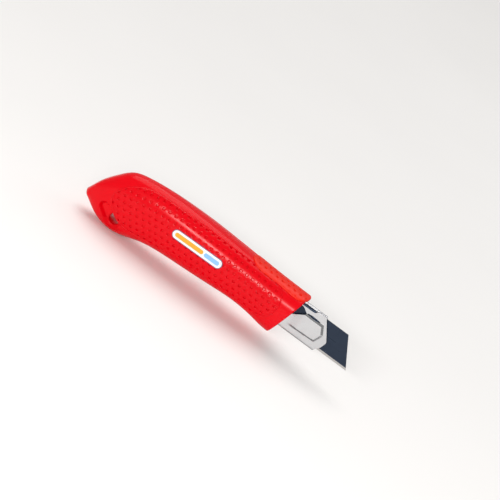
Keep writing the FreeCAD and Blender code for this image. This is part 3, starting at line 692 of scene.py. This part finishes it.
def shell_half(name, side):
    """One shell: half of the solid with its openings."""
    piece = make_mesh(name, [(0, 0, 0)], [])
    piece.data = handle_solid.data.copy()
    low, high = (-FAR, 0.0) if side < 0 else (0.0, FAR)
    cut(piece, [box_tool((-200, low, -FAR), (10, high, FAR))], "INTERSECT")
    rim = [(HOLE_R + HOLE_FLARE + 3, -CUP_FLOOR - 3), (HOLE_R + HOLE_FLARE, -CUP_FLOOR),
           (HOLE_R + 0.3, -CUP_FLOOR + 0.35), (HOLE_R, -CUP_FLOOR + HOLE_FLARE)]
    tools = [box_tool(*ROOM), round_tool(HOLE_X, HOLE_Z, rim + [(r, -y) for r, y in rim[::-1]])]
    if side > 0:
        opening = stadium_points(TRACK_FROM - TRACK_ROOM, TRACK_TO + TRACK_ROOM, 0,
                                 TRACK_HALF + TRACK_ROOM)
        tools.append(plate(opening, TRACK_SEAT, FAR))
        tools += [round_tool(x, z, [(SCREW_HEAD + 0.2, SCREW_SEAT), (SCREW_HEAD + 0.2, FAR)])
                  for x, z in SCREWS]
    cut(piece, tools)
    paint(piece, "shell_red")
    smooth(piece, 32)
    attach(piece, "handle")
    return piece


shell_label = shell_half("shell_label_side", -1)
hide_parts("handle_label_side")
shell_slider = shell_half("shell_slider_side", 1)
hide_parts("handle_slider_side")
discard(handle_solid)
print("shell faces:", len(shell_label.data.polygons), len(shell_slider.data.polygons))

# %% [markdown]
# ## The dimpled grips
#
# The grips are soft rubber-like pads full of small round pits in staggered rows. One pit and the
# square of skin around it is a tile of a few dozen faces. A Geometry Nodes tree lays the tiles out
# in offset rows and welds them into one sheet. The flat sheet is trimmed to the pad's outline
# while it is still flat, which is easy and exact, and only then wrapped on to the handle's skin.

# %% One tile: a round pit in a square of skin
PITCH_ALONG, PITCH_AROUND = 4.0, 3.7
PIT_R, PIT_DEEP = 0.80, 0.80


def build_tile():
    """Square tile, 16 points round, with rings down into the pit; in millimetres."""
    x, z = PITCH_ALONG / 2, PITCH_AROUND / 2
    steps = np.linspace(-1, 1, 5)[:-1]
    edge = ([(x * t, -z) for t in steps] + [(x, z * t) for t in steps]
            + [(-x * t, z) for t in steps] + [(-x, -z * t) for t in steps])
    edge = np.array(edge)
    turns = np.arctan2(edge[:, 1] / z, edge[:, 0] / x)
    circle = np.stack([np.cos(turns), np.sin(turns)], axis=1)
    layers = [(edge, 0.0), (edge * 0.4 + circle * 0.85 * 0.6, 0.0), (circle * (PIT_R + 0.16), 0.0),
              (circle * PIT_R, -0.12), (circle * (PIT_R - 0.12), -PIT_DEEP)]
    points = [(px, pz, h) for ring, h in layers for px, pz in ring] + [(0, 0, -PIT_DEEP - 0.04)]
    faces = rings_to_faces(len(layers), 16)
    last = (len(layers) - 1) * 16
    faces += [(last + j, last + (j + 1) % 16, len(points) - 1) for j in range(16)]
    return make_mesh("pit_tile", points, faces)


pit_tile = build_tile()
print("tile:", len(pit_tile.data.polygons), "faces")


# %% Geometry Nodes: staggered rows of tiles
WELD = 0.02 * MM


def end_tree(tree, points, part, material, out, weld=0.0):
    """Ends a tree: a copy of the part on each point, made real, welded and given its material."""
    copy = add_node(tree, "GeometryNodeObjectInfo", {"Object": part})
    placed = add_node(tree, "GeometryNodeInstanceOnPoints",
                      {"Points": points, "Instance": copy.outputs["Geometry"]})
    whole = add_node(tree, "GeometryNodeRealizeInstances", {0: placed.outputs[0]})
    if weld:
        whole = add_node(tree, "GeometryNodeMergeByDistance",
                         {"Geometry": whole.outputs[0], "Distance": weld})
    painted = add_node(tree, "GeometryNodeSetMaterial",
                       {"Geometry": whole.outputs[0], "Material": material})
    tree.links.new(painted.outputs[0], out["Geometry"])
    return tree


def build_field_tree():
    """Tree with named inputs: lays the tile out in rows, every other row moved half a pitch."""
    tree, source, out = make_group("staggered_tiles", "GeometryNodeTree", [
        ("Tile", "Object"), ("Material", "Material"), ("Columns", "Int"), ("Rows", "Int"),
        ("Pitch Along", "Float"), ("Pitch Around", "Float")], [("Geometry", "Geometry")])

    def maths(operation, a, b):
        return add_node(tree, "ShaderNodeMath", {0: a, 1: b}, operation=operation).outputs[0]

    columns, rows, along = source["Columns"], source["Rows"], source["Pitch Along"]
    grid = add_node(tree, "GeometryNodeMeshGrid", {
        "Vertices X": columns, "Vertices Y": rows,
        "Size X": maths("MULTIPLY", maths("SUBTRACT", columns, 1), along),
        "Size Y": maths("MULTIPLY", maths("SUBTRACT", rows, 1), source["Pitch Around"])})
    index = add_node(tree, "GeometryNodeInputIndex").outputs[0]
    odd = maths("FLOORED_MODULO", maths("FLOORED_MODULO", index, rows), 2)
    offset = add_node(tree, "ShaderNodeCombineXYZ",
                      {"X": maths("MULTIPLY", odd, maths("MULTIPLY", along, 0.5))})
    move = add_node(tree, "GeometryNodeSetPosition",
                    {"Geometry": grid.outputs["Mesh"], "Offset": offset.outputs[0]})
    return end_tree(tree, move.outputs[0], source["Tile"], source["Material"], out, WELD)


def grow(piece, tree, values):
    """Runs a Geometry Nodes tree on a piece, its inputs set by identifier, and bakes the result."""
    step = piece.modifiers.new("grow", "NODES")
    step.node_group = tree
    for item in tree.interface.items_tree:
        if item.name in values:
            step[item.identifier] = values[item.name]
    return bake(piece)


field_tree = build_field_tree()
print("tree inputs:", [item.name for item in field_tree.interface.items_tree])

# %% [markdown]
# ## Trimming and wrapping a pad
#
# A pad's outline is given in the flat sheet: distance along the handle, and distance round it. The
# sheet becomes a thin slab, a boolean keeps what lies inside the outline, and every point is then
# carried on to the skin along its normal. A rolled border is swept round the same outline, so the
# trimmed edge never shows.

# %% Outlines, trimming and wrapping
SHEET_MARGIN, PLUG_HALF = 4.0, 5.0


def around_at(x, z):
    """Distance round the skin of the point at height z."""
    row = int(np.clip(np.searchsorted(NET_X, x - lean(x, z)), 0, len(NET_X) - 1))
    return float(np.interp(z, NET_Z[row], NET_AROUND[row]))


def outline_normals(path):
    """Unit vectors that point out of a closed outline, whichever way it runs."""
    ahead = np.roll(path, -1, axis=0) - np.roll(path, 1, axis=0)
    normal = np.stack([ahead[:, 1], -ahead[:, 0]], axis=1)
    normal /= np.linalg.norm(normal, axis=1, keepdims=True)
    area = np.sum(path[:, 0] * np.roll(path[:, 1], -1) - np.roll(path[:, 0], -1) * path[:, 1])
    return normal if area > 0 else -normal


def slab(sheet, thick):
    """Closes a flat sheet downwards into a slab with a flat underside, in place."""
    mesh = bmesh.new()
    mesh.from_mesh(sheet.data)
    bmesh.ops.remove_doubles(mesh, verts=mesh.verts, dist=WELD)
    made = bmesh.ops.extrude_face_region(mesh, geom=list(mesh.faces), use_keep_orig=True)
    for item in made["geom"]:
        if isinstance(item, bmesh.types.BMVert):
            item.co.z = -thick * MM
    bmesh.ops.recalc_face_normals(mesh, faces=mesh.faces)
    mesh.to_mesh(sheet.data)
    mesh.free()
    return sheet


def pad_sheet(path, centre, holes=(), tile=None, thick=1.3, material="grip_red"):
    """Trimmed slab in the flat: tiles laid over the outline's box, round a centre."""
    low, high = path.min(axis=0) - SHEET_MARGIN, path.max(axis=0) + SHEET_MARGIN
    reach = np.maximum(np.abs(low - centre), np.abs(high - centre))
    columns, rows = (2 * int(math.ceil(span / pitch)) + 3
                     for span, pitch in zip(reach, (PITCH_ALONG, PITCH_AROUND)))
    sheet = grow(make_mesh("field", [(0, 0, 0)], []), field_tree, {
        "Tile": tile or pit_tile, "Material": FINISH[material], "Columns": columns, "Rows": rows,
        "Pitch Along": PITCH_ALONG * MM, "Pitch Around": PITCH_AROUND * MM})
    sheet.data.transform(Matrix.Translation((centre[0] * MM, centre[1] * MM, 0)))
    slab(sheet, thick)
    cut(sheet, [plate(path, -PLUG_HALF, PLUG_HALF, 2)], "INTERSECT")
    if len(holes):
        cut(sheet, [plate(hole, -PLUG_HALF, PLUG_HALF, 2) for hole in holes])
    # Known fault: the baked sheet has an empty first slot, which the cut walls use. So index 1 is the
    # skin itself, the pits keep the skin's finish, and the cut walls have none.
    # The darker red appended here is painted shade meant for the pit faces; because of the fault above,
    # index 1 gives them the skin instead.
    sheet.data.materials.append(FINISH["grip_pit"])
    for face in sheet.data.polygons:
        if face.normal.z > 0.02 and face.center.z < -0.1 * MM:
            face.material_index = 1
    return sheet


def wrap(piece, place):
    """Carries a flat piece on to the skin: place(x, v, height) gives points in millimetres."""
    flat = np.empty(len(piece.data.vertices) * 3)
    piece.data.vertices.foreach_get("co", flat)
    points = place(*(flat.reshape(-1, 3) / MM).T)
    piece.data.vertices.foreach_set("co", (points * MM).ravel())
    piece.data.update()
    return piece


def border(name, path, profile, place, material="grip_red"):
    """Closed sweep of a (distance outwards, height) profile round an outline."""
    normal = outline_normals(path)
    rings = [path + normal * away for away, height in profile]
    points = np.concatenate([place(ring[:, 0], ring[:, 1], np.full(len(ring), height))
                             for ring, (away, height) in zip(rings, profile)])
    faces = rings_to_faces(len(profile), len(path), closed_tube=True)
    return face_out(make_mesh(name, points, faces, FINISH[material]))


def join(name, pieces):
    """Joins finished pieces into one object at the origin."""
    mesh = bmesh.new()
    materials = []
    for piece in pieces:
        slots = []
        for material in piece.data.materials:
            if material not in materials:
                materials.append(material)
            slots.append(materials.index(material))
        start = len(mesh.faces)
        mesh.from_mesh(piece.data)
        mesh.faces.ensure_lookup_table()
        for face in mesh.faces[start:]:
            face.material_index = slots[face.material_index] if slots else 0
    whole = bpy.data.meshes.new(name)
    mesh.to_mesh(whole)
    mesh.free()
    for material in materials:
        whole.materials.append(material)
    result = bpy.data.objects.new(name, whole)
    bpy.context.scene.collection.objects.link(result)
    discard(*pieces)
    return result


# %% The two side grips
GRIP_PROUD = 0.16
GRIP_BEAD = [(-0.45, -0.9), (-0.45, 0.13), (-0.25, 0.26), (0.0, 0.33), (0.25, 0.28), (0.45, 0.10),
             (0.55, -0.25), (0.5, -0.9)]


def side_grip(name, side, node):
    """Trimmed sheet and rolled bead on one side; the slider's side is open round its track."""
    path = smooth_outline([(x, around_at(x, z)) for x, z in GRIP_OUTLINE])
    first_row = around_at(-90.0, 6.2)
    holes = []
    if side > 0:
        ring = stadium_points(TRACK_FROM - 0.1, TRACK_TO + 0.1, 0.0, TRACK_HALF + 0.1, 24)
        holes.append(np.array([(x, around_at(x, z)) for x, z in ring]))
        hole = SCREW_HEAD + 0.15
        for x, z in SCREWS[:2]:
            holes.append(np.array([(x + hole * math.cos(a), around_at(x, z + hole * math.sin(a)))
                                   for a in np.linspace(0, 2 * math.pi, 32, endpoint=False)]))
    sheet = pad_sheet(path, (-80.4, first_row), holes)

    def place(x, v, height):
        return on_skin(x, v, height + GRIP_PROUD, side)

    wrap(sheet, place)
    bead = border(name + "_bead", path, GRIP_BEAD, place)
    piece = smooth(face_out(join(name, [sheet, bead])), 50)
    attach(piece, "handle")
    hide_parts(node)
    print(name, len(piece.data.polygons), "faces")
    return piece


side_grip("grip_label_side", -1, "grip_panel_label_side")
side_grip("grip_slider_side", 1, "grip_panel_slider_side")


# %% The thumb rest on the spine
REST_REAR, REST_HALF, REST_PROUD = -60.0, 7.4, 0.85


def on_spine(x, across, height):
    """Points on the spine: distance along it and distance across its top line."""
    x, across = np.asarray(x, float), np.asarray(across, float)
    top = np.interp(x - lean(x, 12.0), NET_X, AROUND_TOP)
    left = on_skin(x, top - np.abs(across), height, -1)
    right = left * np.array([1.0, -1.0, 1.0])
    return np.where((across < 0)[..., None], left, right)


def rest_outline():
    """Seen from above: round rear end, straight sides and a blunter front."""
    front = FRONT_X + 12.4 * FRONT_LEAN + 0.9
    rear = [(REST_REAR + REST_HALF * (1 - math.cos(a)), REST_HALF * math.sin(a))
            for a in np.radians([90, 60, 30, 0, -30, -60, -90])]
    nose = [(front - 3.2 * (1 - math.cos(a)) - 0.6 * abs(math.sin(a)), (REST_HALF - 0.2) * math.sin(a))
            for a in np.radians([-90, -66, -40, 0, 40, 66, 90])]
    sides = [(x, -REST_HALF) for x in (-48.0, -36.0)]
    back = [(x, REST_HALF) for x in (-36.0, -48.0)]
    return smooth_outline(rear + sides + nose + back)


def build_thumb_rest():
    path = rest_outline()
    inner = path - outline_normals(path) * 0.75
    # The rest takes the orange-lit copy of the red, painted light on the spine's top.
    sheet = pad_sheet(inner, (-40.6, 0.0), material="rest_red")
    wrap(sheet, lambda x, v, height: on_spine(x, v, height + REST_PROUD))
    roll = [(-0.8, -0.9), (-0.75, REST_PROUD), (-0.45, REST_PROUD - 0.03),
            (-0.2, REST_PROUD - 0.16), (-0.05, REST_PROUD - 0.4), (0.0, REST_PROUD - 0.7),
            (0.0, -0.3), (-0.2, -0.9)]
    skirt = border("rest_skirt", path, roll, on_spine, "rest_red")
    piece = smooth(face_out(join("thumb_rest_pad", [sheet, skirt])), 50)
    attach(piece, "handle")
    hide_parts("thumb_rest")
    print("thumb rest", len(piece.data.polygons), "faces")


build_thumb_rest()

# %% [markdown]
# ## The badge
#
# The badge is a thin printed plate let into the grip: a white ground, a fine dark outline and two
# plain bands of colour. Each layer of print is its own very thin plate, so the colours have real
# edges and no picture is needed.

# %% Badge
badge_low, badge_high = in_mm(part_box("badge_plate"))
BADGE_X, BADGE_Z = (badge_low[0] + badge_high[0]) / 2, (badge_low[2] + badge_high[2]) / 2
BADGE_LONG, BADGE_HALF = badge_high[0] - badge_low[0], (badge_high[2] - badge_low[2]) / 2


def plain_tile():
    """Flat square of skin for sheets with no pits."""
    steps = np.linspace(-0.5, 0.5, 5)
    points = [(PITCH_ALONG * a, PITCH_AROUND * b, 0.0) for a in steps for b in steps]
    faces = [(i * 5 + j, (i + 1) * 5 + j, (i + 1) * 5 + j + 1, i * 5 + j + 1)
             for i in range(4) for j in range(4)]
    return make_mesh("plain_tile", points, faces)


flat_tile = plain_tile()


def badge_layer(x_from, x_to, half, out, finish):
    """Stadium plate on the grip, a little proud of the layer below it."""
    middle = np.array([0.0, around_at(BADGE_X, BADGE_Z)])
    path = np.array(stadium_points(x_from, x_to, 0.0, half, 14)) + middle
    sheet = pad_sheet(path, (BADGE_X, middle[1]), tile=flat_tile, thick=0.3)
    wrap(sheet, lambda x, v, height: on_skin(x, v, height + out, -1))
    paint(sheet, finish)
    return sheet


def build_badge():
    left, right = BADGE_X - BADGE_LONG / 2, BADGE_X + BADGE_LONG / 2
    split, line, band = left + BADGE_LONG * 0.62, 0.42, 1.25
    layers = [badge_layer(*layer) for layer in (
        (left, right, BADGE_HALF, 0.30, "badge_line"),
        (left + line, right - line, BADGE_HALF - line, 0.36, "badge"),
        (left + 1.9, split, band, 0.39, "badge_orange"),
        (split + 0.8, right - 1.9, band, 0.39, "badge_blue"))]
    piece = smooth(join("badge_print", layers), 40)
    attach(piece, "handle")
    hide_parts("badge_plate")
    print("badge", len(piece.data.polygons), "faces")


build_badge()
discard(flat_tile)

# %% [markdown]
# ## The stamped steel nose
#
# The holder is one strip of steel folded round the lower edge of the blade. Its section is a deep U,
# so it is swept along X as a ring of points with round rims and a round fold. A press then pushes a
# raised panel out of the near wall. Pushing both faces of the wall by the same amount keeps the
# sheet's thickness, and a soft step in the push gives the panel its rounded bevel. The outline, the
# window and the slits are cut last.

# %% Folded holder
(HOLDER_REAR, _, FOLD_LOW), (_, _, RIM_TOP) = in_mm(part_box("blade_holder"))
STEEL_OUT, STEEL_IN, RIM_ROUND = 1.35, 0.45, 0.35
HOLDER_BODY_REAR, TONGUE_HALF = -117.0, 4.0
PANEL_OUTLINE = [(-34.0, -6.0), (-6.9, -4.8), (-5.1, -0.2), (-7.4, 4.0), (-34.0, 4.0)]
PANEL_RISE, PANEL_BEVEL, PANEL_RAMP = 1.2, 1.5, (-25.0, -16.5)
NOSE_OUTLINE = [(-3.9, FOLD_LOW - 1), (-3.9, FOLD_LOW + 0.6), (-1.6, -7.3), (-1.0, -6.2),
                (-0.05, -2.9), (-0.05, -1.9), (-7.8, RIM_TOP - 0.1), (-8.6, RIM_TOP + 1)]
WINDOW_OUTLINE = [(-30.0, -1.3), (-25.0, -0.6), (-18.2, 4.3), (-18.2, 5.2), (-21.5, 7.4),
                  (-30.0, 7.4)]
HOLDER_SLOT = (-105.9, -41.2, 0.0, 2.2)
NEAR_TOP_CUT = [(-40.0, 7.8), (-14.6, 8.0), (-12.4, 10.4), (-12.0, 12.0), (-40.0, 12.0)]
LENS_Z = 5.35
LENS = [(-18.3, LENS_Z), (-15.4, LENS_Z + 0.62), (-11.2, LENS_Z + 0.62), (-8.3, LENS_Z),
        (-11.2, LENS_Z - 0.55), (-15.4, LENS_Z - 0.55)]


def press(x, z):
    """How far the press pushes the near wall out."""
    ramp = soft_step((x - PANEL_RAMP[0]) / (PANEL_RAMP[1] - PANEL_RAMP[0]))
    edge = outline_distance(PANEL_OUTLINE, x, z)
    return PANEL_RISE * ramp * soft_step(1 - edge / PANEL_BEVEL)


def holder_section():
    """Closed U section as (y, z): near wall outside, round the fold, far wall, and back inside."""
    heights = np.linspace(RIM_TOP - RIM_ROUND, FOLD_LOW + STEEL_OUT, 66)
    middle, half = (STEEL_OUT + STEEL_IN) / 2, (STEEL_OUT - STEEL_IN) / 2

    def arc(centre, y_reach, z_centre, z_reach, turns):
        return [(centre + y_reach * math.cos(a), z_centre + z_reach * math.sin(a))
                for a in np.radians(turns)]

    fold, rim = np.linspace(180, 360, 17)[1:-1], np.linspace(0, 180, 7)[1:-1]
    fold_z, rim_z = FOLD_LOW + STEEL_OUT, RIM_TOP - RIM_ROUND
    return ([(-STEEL_OUT, z) for z in heights] + arc(0, STEEL_OUT, fold_z, STEEL_OUT, fold)
            + [(STEEL_OUT, z) for z in heights[::-13]] + arc(middle, half, rim_z, RIM_ROUND, rim)
            + [(STEEL_IN, z) for z in heights[::13]] + arc(0, STEEL_IN, fold_z, STEEL_IN, fold[::-1])
            + [(-STEEL_IN, z) for z in heights[::-1]] + arc(-middle, half, rim_z, RIM_ROUND, rim))


def rounded_plug(points, y_from, y_to, rounding=0.5):
    """Closed cutting plate with its corners rounded by a short curve."""
    ring = []
    for before, here, after in zip(points[-1:] + points[:-1], points, points[1:] + points[:1]):
        here = np.array(here)
        legs = [np.array(other) - here for other in (before, after)]
        reach = [min(rounding, np.linalg.norm(leg) * 0.45) * leg / np.linalg.norm(leg) for leg in legs]
        for t in (0.0, 0.33, 0.67, 1.0):
            ring.append(tuple(here + reach[0] * (1 - t) ** 2 + reach[1] * t ** 2))
    return plate(ring, y_from, y_to)


def build_holder():
    section = np.array(holder_section())
    y, z = section.T
    near = (y < 0) & (z > FOLD_LOW + STEEL_OUT)
    stations = np.concatenate([np.linspace(HOLDER_REAR, -36, 14), np.arange(-34.5, 0.6, 0.3)])
    points = []
    for x in stations:
        push = press(np.full(len(z), x), z) * near if x > -34 else np.zeros(len(z))
        points.append(np.stack([np.full(len(z), x), y - push, z], axis=1))
    faces = rings_to_faces(len(stations), len(section), capped=True)
    piece = face_out(make_mesh("steel_holder", np.concatenate(points), faces))
    tail = [(HOLDER_BODY_REAR, RIM_TOP + 1), (HOLDER_BODY_REAR, TONGUE_HALF),
            (HOLDER_REAR - 1, TONGUE_HALF), (HOLDER_REAR - 1, -TONGUE_HALF),
            (HOLDER_BODY_REAR, -TONGUE_HALF), (HOLDER_BODY_REAR, FOLD_LOW - 1)]
    cut(piece, [rounded_plug(NOSE_OUTLINE + tail, -6, 6, 0.8)], "INTERSECT")
    cut(piece, [rounded_plug(WINDOW_OUTLINE, -6, 0), plate(stadium_points(*HOLDER_SLOT), 0.0, 6.0),
                rounded_plug(LENS, -6, 0, 1.5), rounded_plug(NEAR_TOP_CUT, -6, 0, 0.6)])
    paint(piece, "holder_steel", "holder_bend")
    # Painted shade: the bevel faces that face down and out, and the rolled top rim, take the darker copy
    # of the steel.
    for face in piece.data.polygons:
        bevel = (face.center.x > -24 * MM and -0.95 < face.normal.y < -0.3
                 and face.normal.z < -0.2)
        if bevel or face.center.z > (RIM_TOP - 0.34) * MM:
            face.material_index = 1
    smooth(piece, 24)
    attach(piece, "handle")
    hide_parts("blade_holder")
    print("steel holder", len(piece.data.polygons), "faces")


build_holder()

# %% [markdown]
# ## Slider, pad and screws
#
# The slider's knob is a lozenge with its edges rolled over, built from a few rings of the same
# stadium outline. Its pad has the grip's own pits, so the thumb finds it. The three case screws are
# one screw placed three times by Geometry Nodes.

# %% Slider knob and its pad
knob_low, knob_high = in_mm(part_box("slider_knob"))
knob_x = (knob_low[0] + knob_high[0]) / 2
FOOT_Y, WAIST, STEM_LONG, STEM_HALF = 12.9, 0.5, 6.0, 2.3


def stadium_rings(profile, x_from, x_to, half, count=20):
    """Rings of one stadium outline, each drawn in and placed at its own y, closed at both ends."""
    points = []
    for inset, y in profile:
        ring = stadium_points(x_from + inset, x_to - inset, 0.0, half - inset, count)
        points += [(x, y, z) for x, z in ring]
    return points, rings_to_faces(len(profile), 2 * count, capped=True)


def build_knob():
    top = knob_high[1]
    roll = [(0.7, FOOT_Y), (0.2, FOOT_Y + 0.15), (0.0, FOOT_Y + 0.6), (WAIST * 0.7, FOOT_Y + 1.2),
            (WAIST, FOOT_Y + 1.7), (WAIST * 0.7, FOOT_Y + 2.2), (0.0, top - 1.2),
            (0.12, top - 0.6), (0.45, top - 0.2), (1.0, top - 0.02), (1.5, top)]
    stalk = [(0.0, knob_low[1]), (0.0, FOOT_Y + 0.3)]
    head = make_mesh("knob_head", *stadium_rings(roll, knob_low[0], knob_high[0], knob_high[2]))
    stem = make_mesh("knob_stem", *stadium_rings(stalk, knob_x - STEM_LONG, knob_x + STEM_LONG,
                                                 STEM_HALF))
    paint(head, "black_plastic")
    paint(stem, "black_plastic")
    knob = smooth(face_out(join("slider_button", [head, stem])), 40)
    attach(knob, "lock_button")
    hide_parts("slider_knob")


def build_knob_pad():
    low, high = in_mm(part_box("knob_pad"))
    path = np.array(stadium_points(low[0], high[0], 0.0, high[2], 30))

    def place(x, v, height):
        return np.stack([x, high[1] + height, v], axis=-1)

    sheet = pad_sheet(path - outline_normals(path) * 0.5, (knob_x, 0.0), thick=0.95)
    wrap(sheet, place)
    roll = [(-0.55, -0.95), (-0.52, 0.0), (-0.3, -0.02), (-0.1, -0.14), (0.0, -0.4),
            (0.0, low[1] - high[1])]
    skirt = border("knob_skirt", path, roll, place)
    pad = smooth(face_out(join("slider_pad", [sheet, skirt])), 50)
    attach(pad, "lock_button")
    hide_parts("knob_pad")
    print("slider", len(pad.data.polygons), "faces on its pad")


build_knob()
build_knob_pad()
discard(pit_tile)


# %% Case screws by Geometry Nodes
def build_scatter_tree():
    """Tree with named inputs: one copy of a part on each point of the mesh that carries it."""
    tree, source, out = make_group("part_on_points", "GeometryNodeTree", [
        ("Points", "Geometry"), ("Part", "Object"), ("Material", "Material")],
        [("Geometry", "Geometry")])
    return end_tree(tree, source["Points"], source["Part"], source["Material"], out)


def build_screw():
    """Pan-head screw with a cross recess, along Y, its seat at the origin."""
    head, thick, shank, bite = SCREW_HEAD, 1.8, 1.5, 5.0 + SCREW_SEAT
    profile = [(0.4, -bite), (shank, -bite + 0.8), (shank, -0.1), (head - 0.1, 0.0), (head, 0.15),
               (head, thick - 0.8), (head - 0.15, thick - 0.4), (head - 0.55, thick - 0.12),
               (head - 1.2, thick)]
    screw = round_tool(0, 0, profile)
    bars = []
    for wide, high in ((1.5, 0.34), (0.34, 1.5)):
        outline = [(-wide, -high), (wide, -high), (wide, high), (-wide, high)]
        bars.append(rounded_plug(outline, thick - 0.9, thick + 1, 0.2))
    return cut(screw, bars)


screw = build_screw()
screws = make_mesh("screws", [(x, SCREW_SEAT, z) for x, z in SCREWS], [])
grow(screws, build_scatter_tree(), {"Part": screw, "Material": FINISH["screw_steel"]})
smooth(screws, 35)
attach(screws, "handle")
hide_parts("case_screws")
discard(screw)
print("screws", len(screws.data.polygons), "faces")

# %% [markdown]
# ## Parts carried over from the CAD
#
# The blade and the works inside the handle keep their CAD shapes, which are already exact. They only
# need a surface each: a dark oiled steel for the blade, moulded black plastic for the carriage and
# its track, bright wire steel for the spring and the hook.

# %% Surfaces of the carried-over parts
CARRIED_OVER = {
    "blade": "blade_steel", "blade_hook": "spring_steel", "lock_spring": "spring_steel",
    "holder_pin": "screw_steel", "nose_bush": "black_plastic", "slide_track": "black_plastic",
    "blade_carrier": "black_plastic", "lock_pawl": "black_plastic",
}
for name, finish in CARRIED_OVER.items():
    paint(nodes[name], finish)
    print(name, "is", finish)

# %% [markdown]
# ## The floor
#
# A wide pale sheet under the knife catches its soft shadow. It is wide enough to reach past every
# view. A faint mottle in its colour keeps it from looking like an empty render.

# %% Floor
FLOOR_REACH, FLOOR_PALE, FLOOR_MOTTLE = 4.0, (0.95, 0.94, 0.93, 1), (0.92, 0.91, 0.90, 1)


def floor_material():
    material = bpy.data.materials.new("floor")
    material.use_nodes = True
    tree = material.node_tree
    shader = tree.nodes["Principled BSDF"]
    shader.inputs["Roughness"].default_value = 0.6
    place = add_node(tree, "ShaderNodeNewGeometry").outputs["Position"]
    cloud = add_node(tree, "ShaderNodeTexNoise", {"Vector": place, "Scale": 7.0}).outputs["Fac"]
    tint = mix_colours(tree, cloud, FLOOR_PALE, FLOOR_MOTTLE)
    tree.links.new(tint, shader.inputs["Base Color"])
    return material


def build_floor():
    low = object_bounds()[0][2]
    mesh = bpy.data.meshes.new("floor")
    corners = [(FLOOR_REACH * x, FLOOR_REACH * y, low)
               for x, y in ((-1, -1), (1, -1), (1, 1), (-1, 1))]
    mesh.from_pydata(corners, [], [(0, 1, 2, 3)])
    mesh.materials.append(floor_material())
    floor = bpy.data.objects.new("floor", mesh)
    bpy.context.scene.collection.objects.link(floor)
    print("floor at", round(low, 4))


build_floor()
